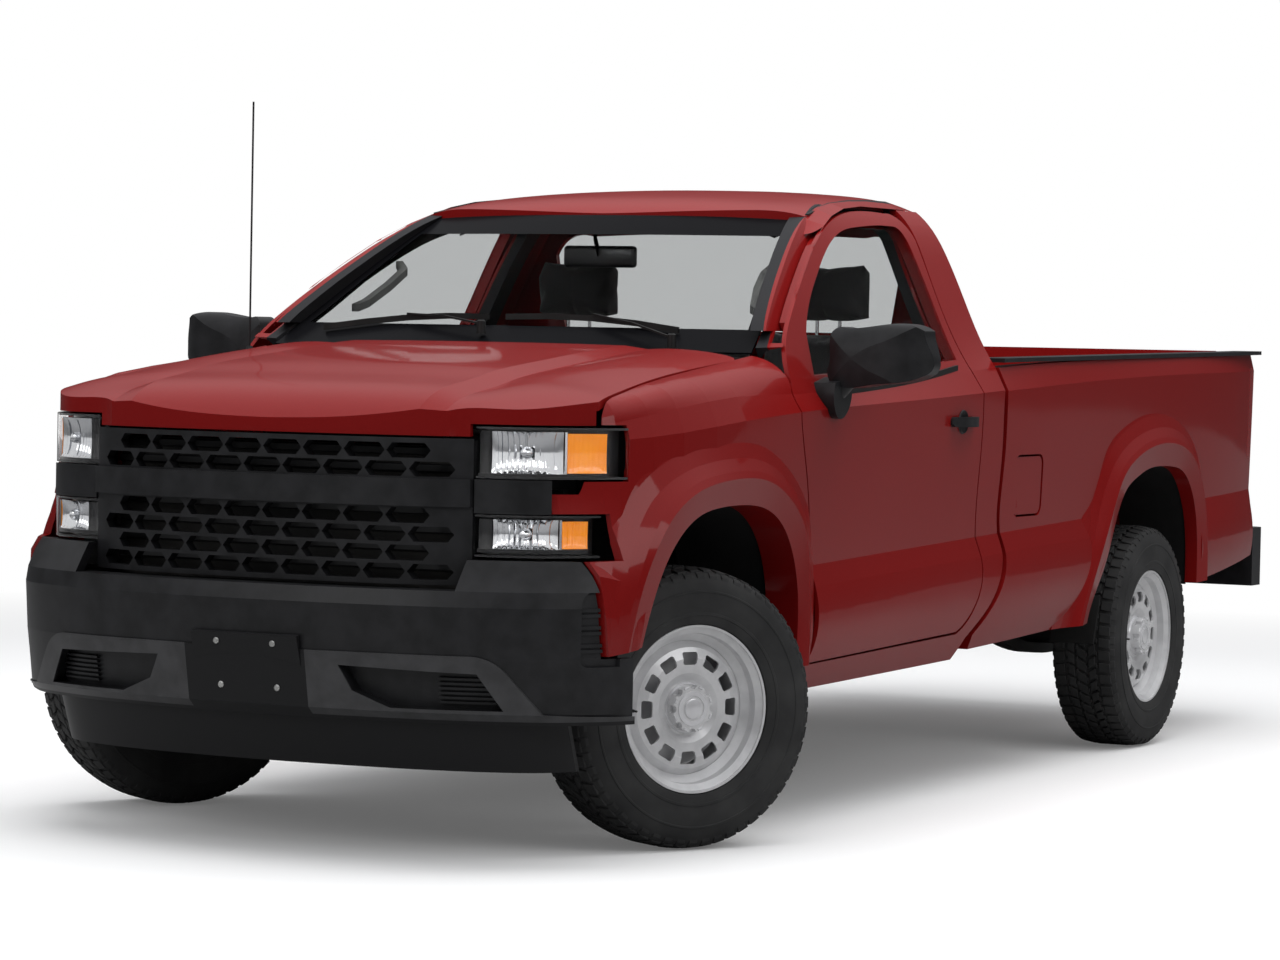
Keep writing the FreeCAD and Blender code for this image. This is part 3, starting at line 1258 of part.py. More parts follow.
tank_shares = (-2.96, -2.14, 0.075, 0.4297, 0.40, 0.60)
pipe_radius = 32.0
pipe_shares = [(-0.46, -0.20, 0.500), (-0.70, -0.22, 0.3277), (-2.16, -0.25, 0.3277), (-2.30, -0.25, 0.370)]
muffler_start_share = -2.30
muffler_end_share = -2.90
muffler_radius = 88.0
tail_shares = [(-2.90, -0.25, 0.40), (-3.20, -0.345, 0.505), (-3.95, -0.345, 0.510), (-4.42, -0.385, 0.500),
               (-4.57, -0.800, 0.460)]
muffler_place_shares = (-0.25, 0.39)


def tube_through(shares, radius):
    points = [spot(*p) for p in shares]
    wire = Part.makePolygon(points)
    ring = Part.Wire(Part.makeCircle(radius, points[0], points[1] - points[0]))
    return wire.makePipeShell([ring], True, True, 1)


def make_exhaust():
    muffler = rod(spot(muffler_start_share, *muffler_place_shares), spot(muffler_end_share, *muffler_place_shares),
                  muffler_radius)
    return joined([tube_through(pipe_shares, pipe_radius), muffler, tube_through(tail_shares, pipe_radius)])


def make_fuel_tank():
    return box(*[v * grid for v in tank_shares])


# Wheel liners over each arch
liner_wall = 5.0
front_liner_inner = 620.0
rear_liner_inner = 700.0
liner_step = 12.0


def make_liner(liner_shares, inner_y, outer_y, low_z):
    """A thin arch that seats on the back of what carries the flare."""
    outer = side_prism(liner_shares, inner_y, outer_y)
    hollow = side_prism(grow(liner_shares, -liner_wall), inner_y - overrun, outer_y + overrun)
    return outer.cut([hollow, box(-6 * grid, grid, 0, left_side_far, 0, low_z)])


# Interior
dash_front_x = -530.0
dash_back_x = -900.0
dash_half = 750.0
dash_low_z = 800.0
dash_top_z = 1345.0
dash_outline_shares = [
    [(-0.532, 1.330), (-0.532, 0.860)],
    [(-0.532, 0.860), (-0.820, 0.780), (-0.900, 0.980)],
    [(-0.900, 0.980), (-0.930, 1.180), (-0.890, 1.290)],
    [(-0.890, 1.290), (-0.760, 1.330), (-0.532, 1.330)],
]
cushion_shares = [
    [(-1.250, 0.560), (-1.240, 0.860)],
    [(-1.240, 0.860), (-1.260, 0.900), (-1.330, 0.915)],
    [(-1.330, 0.915), (-1.660, 0.885)],
    [(-1.660, 0.885), (-1.820, 0.760)],
    [(-1.820, 0.760), (-1.800, 0.560)],
    [(-1.800, 0.560), (-1.250, 0.560)],
]
backrest_shares = [
    [(-1.660, 0.885), (-1.790, 1.430)],
    [(-1.790, 1.430), (-1.840, 1.480), (-1.900, 1.440)],
    [(-1.900, 1.440), (-1.820, 0.760)],
    [(-1.820, 0.760), (-1.660, 0.885)],
]
headrest_shares = [
    [(-1.790, 1.500), (-1.780, 1.640)],
    [(-1.780, 1.640), (-1.830, 1.690), (-1.890, 1.660)],
    [(-1.890, 1.660), (-1.900, 1.500)],
    [(-1.900, 1.500), (-1.790, 1.500)],
]
seat_outer_y = 700.0
seat_inner_y = 215.0
seat_middle_half = 200.0
headrest_half = 125.0
headrest_round = 18.0
wheel_centre_shares = (-1.020, 0.400, 1.160)
wheel_ring_radius = 185.0
wheel_rim_radius = 15.0
column_tilt = 24.0


def make_dashboard():
    return side_prism(dash_outline_shares, -dash_half, dash_half)


def is_across(edge):
    """An edge that lies in a plane across the truck's width."""
    return abs(edge.Vertexes[0].Y - edge.Vertexes[-1].Y) < fit_gap


def make_seat():
    tunnel = box(floor_back_x, floor_front_x, -tunnel_half, tunnel_half, 0, cab_floor_z + tunnel_height)
    pieces = []
    for y0, y1 in ((seat_inner_y, seat_outer_y), (-seat_outer_y, -seat_inner_y),
                   (-seat_middle_half, seat_middle_half)):
        pieces.append(side_prism(cushion_shares, y0, y1).cut(tunnel))
        back = side_prism(backrest_shares, y0, y1)
        middle = (y0 + y1) / 2
        if abs(middle) > 1:
            posts = [rod(Vector(-1.845 * grid, middle + offset, 1.42 * grid),
                         Vector(-1.845 * grid, middle + offset, 1.51 * grid), 6.0)
                     for offset in (-40.0, 40.0)]
            rest = side_prism(headrest_shares, middle - headrest_half, middle + headrest_half)
            pieces.append(rest.makeFillet(headrest_round, [e for e in rest.Edges if is_across(e)]))
            back = joined([back] + posts)
            back = back.cut(pieces[-1])
        pieces.append(back)
    return Part.makeCompound(pieces)


def make_steering_wheel():
    centre = spot(*wheel_centre_shares)
    lean = math.radians(column_tilt)
    axis = Vector(-math.cos(lean), 0, math.sin(lean))
    ring = Part.makeTorus(wheel_ring_radius, wheel_rim_radius, centre, axis)
    hub = rod(centre + axis * -15.0, centre + axis * 25.0, 60.0)
    column = rod(centre - axis * 240.0, centre - axis * 10.0, 28.0)
    pieces = [ring, hub, column]
    across = Vector(0, 1, 0)
    up = axis.cross(across)
    for direction in (across, across * -1, up * -1 if up.z > 0 else up):
        pieces.append(rod(centre, centre + direction * wheel_ring_radius, 13.0))
    return joined(pieces)


# Cowl panel at the windscreen's foot, with the aerial on the right
cowl_outline_shares = [
    [(-0.386, 0.0), (-0.400, 0.400), (-0.421, 0.760), (-0.425, 0.800)],
    [(-0.425, 0.800), (-0.530, 0.800)],
    [(-0.530, 0.800), (-0.530, 0.0)],
]
cowl_low_z = 1340.0
cowl_top_z = 1370.0
aerial_shares = (-0.405, -0.845, 1.330)
aerial_height = 745.0
aerial_radius = 3.0


def make_cowl():
    panel = plan_prism(both_sides(cowl_outline_shares), cowl_low_z, cowl_top_z)
    foot = spot(*aerial_shares)
    base = Part.makeCone(26.0, 8.0, 45.0, foot)
    mast = rod(foot + Z_AXIS * 40.0, foot + Z_AXIS * (aerial_height + 50.0), aerial_radius)
    return panel, base.fuse(mast)


# Wheels
rim_outer_shares = [(0.235, 0.108), (0.235, 0.100), (0.218, 0.094), (0.216, 0.070), (0.196, 0.055),
                    (0.192, 0.0), (0.192, -0.040), (0.216, -0.070), (0.218, -0.094), (0.235, -0.100),
                    (0.235, -0.108)]
rim_inner_shares = [(0.228, -0.108), (0.209, -0.092), (0.207, -0.078), (0.185, -0.045), (0.185, 0.0),
                    (0.188, 0.050), (0.209, 0.066), (0.211, 0.090), (0.228, 0.102), (0.228, 0.108)]
rim_disc_shares = [(0.035, 0.058), (0.078, 0.058), (0.098, 0.068), (0.140, 0.076), (0.170, 0.066),
                   (0.191, 0.045)]
disc_sheet = 7.0
tyre_outer_shares = [(0.2183, -0.0925), (0.2358, -0.0992), (0.2385, -0.112), (0.300, -0.1275), (0.355, -0.121),
                     (0.380, -0.108), (0.391, -0.090), (0.394, -0.060), (0.394, 0.060), (0.391, 0.090),
                     (0.380, 0.108), (0.355, 0.121), (0.300, 0.1275), (0.2385, 0.112), (0.2358, 0.0992),
                     (0.2183, 0.0925)]
tyre_inner_shares = [(0.2166, 0.0722), (0.240, 0.082), (0.300, 0.113), (0.350, 0.107), (0.374, 0.085),
                     (0.380, 0.050), (0.380, -0.050), (0.374, -0.085), (0.350, -0.107), (0.300, -0.113),
                     (0.240, -0.082), (0.2178, -0.0760)]
hole_inner_radius = 122.0
hole_outer_radius = 158.0
hole_half_angle = 9.0
hole_round = 7.0
cap_radius = 66.0
cap_proud = 42.0
cap_notch_count = 8
cap_notch_radius = 11.0


def revolved(shares):
    points = [Vector(r * grid, a * grid, 0) for r, a in shares]
    return Part.Face(Part.makePolygon(points + points[:1])).revolve(ORIGIN, Y_AXIS, 360)


def make_rim():
    barrel = revolved(rim_outer_shares + rim_inner_shares)
    back = [(r, a - disc_sheet / grid) for r, a in rim_disc_shares[::-1]]
    disc = revolved(rim_disc_shares + back)
    holes = []
    for i in range(wheel_hole_count):
        turn = 360.0 / wheel_hole_count * i
        corners = []
        for radius, sign in ((hole_inner_radius, -1), (hole_outer_radius, -1),
                             (hole_outer_radius, 1), (hole_inner_radius, 1)):
            angle = math.radians(turn + sign * (hole_half_angle - hole_round * 0.3))
            r = radius + (hole_round if radius == hole_inner_radius else -hole_round)
            corners.append(Vector(r * math.cos(angle), 0, r * math.sin(angle)))
        face = Part.Face(Part.makePolygon(corners + corners[:1])).makeOffset2D(hole_round)
        holes.append(face.extrude(Vector(0, 2 * overrun, 0)))
    disc = disc.cut(Part.makeCompound(holes))
    cap = Part.makeCylinder(cap_radius, cap_proud, Vector(0, 58.0 - disc_sheet, 0), Y_AXIS)
    notches = []
    for i in range(cap_notch_count):
        angle = 2 * math.pi * i / cap_notch_count
        place = Vector(cap_radius * math.cos(angle), 58.0 - disc_sheet + cap_proud, cap_radius * math.sin(angle))
        notches.append(Part.makeCylinder(cap_notch_radius, cap_proud / 2, place, Y_AXIS * -1))
    cap = cap.cut(Part.makeCompound(notches))
    hub = Part.makeCylinder(hub_radius * 0.8, 60.0, Vector(0, -5.0, 0), Y_AXIS)
    rotor = Part.makeCylinder(disc_radius, disc_depth, Vector(0, -30.0, 0), Y_AXIS)
    rotor = rotor.cut(Part.makeCylinder(spindle_radius - 8.0, disc_depth * 2, Vector(0, -40.0, 0), Y_AXIS))
    return barrel.fuse([disc, cap, hub, rotor]).removeSplitter()


def make_tyre():
    return revolved(tyre_outer_shares + tyre_inner_shares)


def put_wheel(shape, x, y, steer):
    placed = shape.copy()
    if y < 0:
        placed = mirrored(placed)
    if steer:
        reach = y - math.copysign(kingpin_offset, y)
        placed.translate(Vector(0, y - reach, 0))
        placed.rotate(ORIGIN, Z_AXIS, steer)
        placed.translate(Vector(x, reach, tyre_radius))
    else:
        placed.translate(Vector(x, y, tyre_radius))
    return placed


def make_knuckle(side):
    """Upright between the arms, steered about the kingpin."""
    pin = Part.makeCylinder(ball_radius, arm_high_z + arm_thickness - arm_low_z + 2 * fit_gap * 20,
                            Vector(0, 0, arm_low_z - fit_gap * 20 - tyre_radius))
    body = box(-35.0, 35.0, -30.0, 30.0, arm_low_z + arm_thickness + 8.0 - tyre_radius,
               arm_high_z - 8.0 - tyre_radius)
    spindle = rod(Vector(0, 0, 0), Vector(0, kingpin_offset - disc_depth - fit_gap, 0), spindle_radius)
    steering_arm = box(-150.0, 0, -30.0, -10.0, -70.0, -50.0)
    whole = joined([pin, body, spindle, steering_arm])
    if side < 0:
        whole = mirrored(whole)
    whole.rotate(ORIGIN, Z_AXIS, steer_angle)
    whole.translate(Vector(0, side * kingpin_y, tyre_radius))
    return whole


# Door trim: mirror and handle. The mirror's head is the form that three outlines
# share: seen from the front, from the side and from above.
mirror_front_shares = [
    [(0.977, 1.345), (0.985, 1.430), (0.994, 1.456), (1.012, 1.467)],
    [(1.012, 1.467), (1.140, 1.474), (1.250, 1.470), (1.272, 1.458)],
    [(1.272, 1.458), (1.286, 1.400), (1.290, 1.345), (1.278, 1.330)],
    [(1.278, 1.330), (1.228, 1.310), (1.120, 1.298), (1.022, 1.290), (0.990, 1.305), (0.977, 1.345)],
]
mirror_side_shares = [
    [(-0.690, 1.280), (-0.672, 1.350), (-0.676, 1.420), (-0.704, 1.470), (-0.730, 1.480)],
    [(-0.730, 1.480), (-0.800, 1.480)],
    [(-0.800, 1.480), (-0.790, 1.280)],
    [(-0.790, 1.280), (-0.690, 1.280)],
]
mirror_plan_shares = [
    [(-0.700, 0.960), (-0.676, 1.010), (-0.674, 1.120), (-0.690, 1.220), (-0.722, 1.275), (-0.760, 1.300)],
    [(-0.760, 1.300), (-0.800, 1.300)],
    [(-0.800, 1.300), (-0.790, 0.960)],
    [(-0.790, 0.960), (-0.700, 0.960)],
]
mirror_glass_shares = (1.010, 1.268, 1.325, 1.452)
mirror_glass_depth = 6.0
mirror_back_x = -801.0
mirror_foot_shares = [
    [(-0.655, 1.215), (-0.640, 1.260), (-0.650, 1.302)],
    [(-0.650, 1.302), (-0.745, 1.318)],
    [(-0.745, 1.318), (-0.770, 1.270), (-0.740, 1.215), (-0.690, 1.196), (-0.655, 1.215)],
]
mirror_foot_outer_y = 1022.0
mirror_neck_shares = ((-0.712, 0.990, 1.265), (-0.730, 1.040, 1.330))
mirror_arm_radius = 30.0
handle_front_x = -1600.0
handle_back_x = -1790.0
handle_z = 1178.0
handle_height = 32.0
handle_plan_shares = [
    [(-1.792, 1.002), (-1.770, 1.022), (-1.735, 1.034), (-1.695, 1.037), (-1.655, 1.034), (-1.620, 1.022),
     (-1.598, 1.002)],
    [(-1.598, 1.002), (-1.598, 0.960)],
    [(-1.598, 0.960), (-1.628, 0.960)],
    [(-1.628, 0.960), (-1.640, 1.008), (-1.665, 1.018), (-1.725, 1.018), (-1.750, 1.008), (-1.762, 0.960)],
    [(-1.762, 0.960), (-1.792, 0.960)],
    [(-1.792, 0.960), (-1.792, 1.002)],
]


def make_door_trim():
    head = cross_prism(mirror_front_shares, -grid, 0)
    head = head.common(side_prism(mirror_side_shares, left_side_near, 2 * grid))
    head = head.common(plan_prism(mirror_plan_shares, grid, 2 * grid))
    y0, y1, z0, z1 = [v * grid for v in mirror_glass_shares]
    head = head.cut(box(mirror_back_x - overrun, mirror_back_x + mirror_glass_depth * 2, y0, y1, z0, z1))
    neck = rod(spot(*mirror_neck_shares[0]), spot(*mirror_neck_shares[1]), mirror_arm_radius)
    foot = side_prism(mirror_foot_shares, left_side_near, mirror_foot_outer_y)
    bow = plan_prism(handle_plan_shares, handle_z - handle_height, handle_z + handle_height)
    slot = rounded_plate((handle_front_x + handle_back_x) / 2, handle_z, (handle_front_x - handle_back_x) / 2 + 2,
                         handle_height / 2, handle_height * 0.49, left_side_near, left_side_far)
    return joined([head, neck, foot]), bow.common(slot)


# Fuel door in the left bedside
fuel_x = -2292.0
fuel_z = 963.0
fuel_half_width = 120.0
fuel_half_height = 95.0
fuel_round = 30.0
fuel_leaf = 3.0
fuel_pocket_depth = 70.0
fuel_hinge_back = 30.0
fuel_hinge_y = 981.0
fuel_barrel_radius = 5.0
fuel_pin_radius = 2.5


def rounded_plate(middle_x, middle_z, half_width, half_height, round_radius, y_from, y_to):
    hw, hh = half_width - round_radius, half_height - round_radius
    corners = [Vector(middle_x - hw, y_from, middle_z - hh), Vector(middle_x + hw, y_from, middle_z - hh),
               Vector(middle_x + hw, y_from, middle_z + hh), Vector(middle_x - hw, y_from, middle_z + hh)]
    face = Part.Face(Part.makePolygon(corners + corners[:1])).makeOffset2D(round_radius)
    return face.extrude(Vector(0, y_to - y_from, 0))


def main():
    os.makedirs("parts", exist_ok=True)
    parts = {}
    door = make_door()
    glass = make_door_glass()
    mirror, handle = make_door_trim()
    handle = handle.cut(door)
    inward = cab_side_skin(Vector(0, -grid, 0), 0)
    mirror = mirror.cut(inward)
    mirror = max(mirror.Solids, key=lambda solid: solid.Volume)
    trim = Part.makeCompound([mirror, handle])
    for side, turn in (("left", 1), ("right", -1)):
        parts["door_" + side] = door if turn > 0 else mirrored(door)
        parts["door_glass_" + side] = glass if turn > 0 else mirrored(glass)
        parts["door_trim_" + side] = trim if turn > 0 else mirrored(trim)
    windscreen = make_windscreen()
    back_glass = make_back_glass()
    parts["cab_glass"] = Part.makeCompound([windscreen, back_glass])
    floor = make_cab_floor()
    ring = make_door_ring()
    corner = make_cab_corner()
    pillar = make_pillar()
    back = make_cab_back()
    roof = make_roof()
    shell_half = joined([corner, ring, pillar])
    back = back.cut([shell_half, mirrored(shell_half), floor])
    back = max(back.Solids, key=lambda solid: solid.Volume)
    shell_half = shell_half.cut([windscreen, floor])
    shell_half = max(shell_half.Solids, key=lambda solid: solid.Volume)
    shell = Part.makeCompound([shell_half, mirrored(shell_half), back])
    roof = roof.cut(shell)
    parts["cab_shell"] = shell
    parts["roof"] = roof
    parts["cab_floor"] = floor
    hood = make_hood()
    parts["hood"] = hood
    lamp_space = corner_band(True, lamp_housing_depth + panel_gap, -overrun / 4, lamp_upper_low_z - panel_gap / 2,
                             lamp_upper_top_z + panel_gap / 2)
    fender = make_fender().cut([shell, lamp_space])
    fender = max(fender.Solids, key=lambda solid: solid.Volume)
    parts["fenders"] = Part.makeCompound([fender, mirrored(fender)])
    panel, aerial = make_cowl()
    aerial = aerial.cut(mirrored(fender))
    aerial = max(aerial.Solids, key=lambda solid: solid.BoundBox.ZMax)
    parts["cowl"] = Part.makeCompound([panel.cut([shell, fender, mirrored(fender)]), aerial])
    parts["dashboard"] = make_dashboard()
    parts["seat"] = make_seat()
    parts["steering_wheel"] = make_steering_wheel().cut(parts["dashboard"])
    tub = make_bed_tub()
    bedside = make_bedside()
    lamp = make_tail_lamp(bedside)
    bedside = bedside.cut(lamp)
    plate = rounded_plate(fuel_x, fuel_z, fuel_half_width, fuel_half_height, fuel_round, bed_inner_half, left_side_far)
    opening = rounded_plate(fuel_x, fuel_z, fuel_half_width + panel_gap, fuel_half_height + panel_gap,
                            fuel_round + panel_gap, 0.99 * grid - fuel_pocket_depth, left_side_far)
    rows = [r for r in side_station_shares if -4.30 <= r[0] <= -1.20]
    leaf_sheet = skin([side_chains(x, row) for x, row in rows], Vector(0, -fuel_leaf, 0))
    leaf = leaf_sheet.common(plate)
    hinge_x = fuel_x + fuel_half_width - fuel_hinge_back
    reach = fuel_half_height + panel_gap
    pin = rod(Vector(hinge_x, fuel_hinge_y, fuel_z - reach), Vector(hinge_x, fuel_hinge_y, fuel_z + reach),
              fuel_pin_radius)
    barrel = rod(Vector(hinge_x, fuel_hinge_y, fuel_z - reach * 0.7),
                 Vector(hinge_x, fuel_hinge_y, fuel_z + reach * 0.7), fuel_barrel_radius)
    bore = rod(Vector(hinge_x, fuel_hinge_y, fuel_z - reach), Vector(hinge_x, fuel_hinge_y, fuel_z + reach),
               fuel_pin_radius + fit_gap)
    web = box(hinge_x - fuel_barrel_radius, hinge_x + fuel_barrel_radius, fuel_hinge_y, 0.988 * grid,
              fuel_z - reach * 0.7, fuel_z + reach * 0.7)
    parts["fuel_door"] = leaf.fuse([barrel, web.common(side_skin(-1.20, -4.30, Vector(0, -overrun, 0)))]).cut(bore)
    parts["bedsides"] = Part.makeCompound([bedside.cut(opening).fuse(pin), mirrored(bedside)])
    parts["tail_lamps"] = Part.makeCompound([lamp, mirrored(lamp)])
    parts["bed_tub"] = tub
    cap = make_rail_caps()
    parts["rail_caps"] = Part.makeCompound([cap, mirrored(cap)]).cut(parts["bedsides"])
    parts["tailgate"] = make_tailgate()
    upper, lower = make_lamp_lenses()
    parts["headlamp_lenses"] = Part.makeCompound([upper, lower, mirrored(upper), mirrored(lower)])
    bodies = make_lamp_bodies()
    parts["headlamp_bodies"] = Part.makeCompound(bodies + [mirrored(b) for b in bodies])
    parts["grille"] = make_grille()
    parts["front_carrier"] = make_front_carrier()
    parts["front_bumper"] = make_front_bumper()
    parts["front_lower_trim"] = make_front_lower_trim()
    parts["rear_bumper"] = make_rear_bumper()
    parts["frame"] = Part.makeCompound(make_frame())
    parts["rear_axle"] = make_rear_axle()
    parts["engine"] = make_engine()
    parts["exhaust"] = make_exhaust()
    parts["fuel_tank"] = make_fuel_tank()
    front_liner = make_liner(grow(front_arch_shares, liner_step), front_liner_inner, front_flare_base_y, 0.49 * grid)
    rear_liner = make_liner(grow(rear_arch_shares, liner_step), rear_liner_inner, rear_flare_base_y, 0.56 * grid)
    parts["wheel_liners"] = Part.makeCompound([front_liner, rear_liner, mirrored(front_liner),
                                               mirrored(rear_liner)])
    rim, tyre = make_rim(), make_tyre()
    for name, x, y, steer in (("front_left", 0, track_half, steer_angle),
                              ("front_right", 0, -track_half, steer_angle),
                              ("rear_left", -wheelbase, rear_track_half, 0),
                              ("rear_right", -wheelbase, -rear_track_half, 0)):
        parts["rim_" + name] = put_wheel(rim, x, y, steer)
        parts["tyre_" + name] = put_wheel(tyre, x, y, steer)
    parts["knuckle_left"] = make_knuckle(1)
    parts["knuckle_right"] = make_knuckle(-1)

    shift = Vector(overall_length / 2 - front_overhang, 0, 0)
    for name, shape in parts.items():
        shape.translate(shift)
        shape.exportStep("parts/" + name + ".step")


main()
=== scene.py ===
import bpy
import bmesh
import math
from mathutils import Matrix, Vector


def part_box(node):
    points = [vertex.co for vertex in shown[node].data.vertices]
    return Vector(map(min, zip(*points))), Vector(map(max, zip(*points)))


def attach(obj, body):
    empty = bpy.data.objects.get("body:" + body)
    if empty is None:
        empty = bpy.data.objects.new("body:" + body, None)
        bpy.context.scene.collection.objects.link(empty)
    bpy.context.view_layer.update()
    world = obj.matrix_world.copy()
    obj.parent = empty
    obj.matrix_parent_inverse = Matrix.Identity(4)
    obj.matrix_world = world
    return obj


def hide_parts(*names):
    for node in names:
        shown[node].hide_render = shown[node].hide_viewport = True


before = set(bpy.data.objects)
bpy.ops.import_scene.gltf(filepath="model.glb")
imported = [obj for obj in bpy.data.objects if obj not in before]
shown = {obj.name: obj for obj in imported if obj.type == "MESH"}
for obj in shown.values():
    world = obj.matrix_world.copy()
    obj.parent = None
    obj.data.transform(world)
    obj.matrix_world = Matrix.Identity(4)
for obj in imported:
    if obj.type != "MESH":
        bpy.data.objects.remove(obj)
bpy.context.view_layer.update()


# Painted panels: pressed steel doors, fenders, hood, roof, cab and bed in one red
# metallic clear coat. They are the CAD sheets; the paint has a fine flake and a slight
# ripple in the lacquer.
def deselect():
    for thing in list(bpy.context.selected_objects):
        thing.select_set(False)


def new_finish(name):
    finish = bpy.data.materials.new(name)
    finish.use_nodes = True
    nodes = finish.node_tree.nodes
    return finish, nodes, finish.node_tree.links, nodes["Principled BSDF"]


def grain_node(nodes, links, scale, detail=4.0, stretch=(1, 1, 1)):
    place = nodes.new("ShaderNodeTexCoord")
    mapping = nodes.new("ShaderNodeMapping")
    mapping.inputs["Scale"].default_value = stretch
    noise = nodes.new("ShaderNodeTexNoise")
    noise.inputs["Scale"].default_value = scale
    noise.inputs["Detail"].default_value = detail
    links.new(place.outputs["Object"], mapping.inputs["Vector"])
    links.new(mapping.outputs["Vector"], noise.inputs["Vector"])
    return noise


def colour_between(nodes, links, source, dark, light, low=0.35, high=0.65):
    ramp = nodes.new("ShaderNodeValToRGB")
    ramp.color_ramp.elements[0].position = low
    ramp.color_ramp.elements[0].color = (*dark, 1)
    ramp.color_ramp.elements[1].position = high
    ramp.color_ramp.elements[1].color = (*light, 1)
    links.new(source, ramp.inputs["Fac"])
    return ramp


def value_between(nodes, links, source, low, high):
    change = nodes.new("ShaderNodeMapRange")
    change.inputs["To Min"].default_value = low
    change.inputs["To Max"].default_value = high
    links.new(source, change.inputs["Value"])
    return change


def bump_from(nodes, links, shader, source, strength, distance):
    bump = nodes.new("ShaderNodeBump")
    bump.inputs["Strength"].default_value = strength
    bump.inputs["Distance"].default_value = distance
    links.new(source, bump.inputs["Height"])
    links.new(bump.outputs["Normal"], shader.inputs["Normal"])
    return bump


def grained(name, dark, light, scale, strength, distance, rough, metallic=0.0, coat=0.0, stretch=(1, 1, 1)):
    finish, nodes, links, shader = new_finish(name)
    noise = grain_node(nodes, links, scale, stretch=stretch)
    broad = grain_node(nodes, links, scale / 25)
    ramp = colour_between(nodes, links, broad.outputs["Fac"], dark, light)
    links.new(ramp.outputs["Color"], shader.inputs["Base Color"])
    spread = value_between(nodes, links, broad.outputs["Fac"], rough[0], rough[1])
    links.new(spread.outputs["Result"], shader.inputs["Roughness"])
    shader.inputs["Metallic"].default_value = metallic
    shader.inputs["Coat Weight"].default_value = coat
    shader.inputs["Specular IOR Level"].default_value = 0.30
    bump_from(nodes, links, shader, noise.outputs["Fac"], strength, distance)
    return finish


def dress(names, finish):
    for name in names:
        data = shown[name].data
        data.materials.clear()
        data.materials.append(finish)


red_dark, red_light = (0.195, 0.0052, 0.0050), (0.250, 0.0076, 0.0072)
flake_scale, haze_scale, ripple_scale = 900.0, 1.6, 55.0
paint_gloss, ripple_height = (0.34, 0.44), 0.001
paint, nodes, links, shader = new_finish("red_metallic_paint")
flake = grain_node(nodes, links, flake_scale, 2.0)
haze = grain_node(nodes, links, haze_scale, 3.0)
tone = colour_between(nodes, links, flake.outputs["Fac"], red_dark, red_light)
links.new(tone.outputs["Color"], shader.inputs["Base Color"])
ripple = grain_node(nodes, links, ripple_scale, 2.0)
gloss = value_between(nodes, links, haze.outputs["Fac"], *paint_gloss)
links.new(gloss.outputs["Result"], shader.inputs["Roughness"])
shader.inputs["Metallic"].default_value = 0.05
shader.inputs["Specular IOR Level"].default_value = 0.06
shader.inputs["Coat Weight"].default_value = 0.42
shader.inputs["Coat Roughness"].default_value = 0.06
bump_from(nodes, links, shader, ripple.outputs["Fac"], 0.015, ripple_height)
dress(["fenders", "roof", "hood", "bedsides", "tailgate", "fuel_door", "bed_tub"], paint)


# Doors and cab: the same paint outside, and moulded dark trim clipped over the inner
# side of the pillars and doors, which begins 62 mm in from the cab's outer lean.
def object_axes(nodes, links):
    """The object's own coordinates, each axis as an output of its own."""
    place = nodes.new("ShaderNodeTexCoord")
    parts = nodes.new("ShaderNodeSeparateXYZ")
    links.new(place.outputs["Object"], parts.inputs["Vector"])
    return parts.outputs


def worked(kind, first, second):
    """A sum node in the finish in hand, each input a number or a node's output."""
    node = nodes.new("ShaderNodeMath")
    node.operation = kind
    for socket, value in zip(node.inputs, (first, second)):
        if isinstance(value, (int, float)):
            socket.default_value = value
        else:
            links.new(value, socket)
    return node.outputs["Value"]


def second_coat(nodes, links, colour, rough, share):
    """A second plastic or paint that takes over where a share is 1."""
    trim = nodes.new("ShaderNodeBsdfPrincipled")
    trim.inputs["Base Color"].default_value = (*colour, 1)
    trim.inputs["Roughness"].default_value = rough
    trim.inputs["Specular IOR Level"].default_value = 0.2
    grain = grain_node(nodes, links, 350.0)
    bump_from(nodes, links, trim, grain.outputs["Fac"], 0.2, 0.0005)
    mix = nodes.new("ShaderNodeMixShader")
    links.new(share, mix.inputs["Fac"])
    links.new(nodes["Principled BSDF"].outputs["BSDF"], mix.inputs[1])
    links.new(trim.outputs["BSDF"], mix.inputs[2])
    links.new(mix.outputs["Shader"], nodes["Material Output"].inputs["Surface"])


cab_paint = paint.copy()
cab_paint.name = "red_paint_with_inner_trim"
nodes, links = cab_paint.node_tree.nodes, cab_paint.node_tree.links
outer_low, belt_z, cab_lean, trim_in = 0.985, 1.265, 0.48, 0.062
cab_back_x = 0.020
trim_dark, trim_rough = (0.020, 0.020, 0.022), 0.6
axes = object_axes(nodes, links)
above_belt = worked("MAXIMUM", worked("SUBTRACT", axes["Z"], belt_z), 0.0)
outer = worked("SUBTRACT", outer_low - trim_in, worked("MULTIPLY", above_belt, cab_lean))
share = worked("LESS_THAN", worked("ABSOLUTE", axes["Y"], 0.0), outer)
within = worked("GREATER_THAN", axes["X"], cab_back_x)
second_coat(nodes, links, trim_dark, trim_rough, worked("MULTIPLY", share, within))
dress(["door_left", "door_right", "cab_shell"], cab_paint)


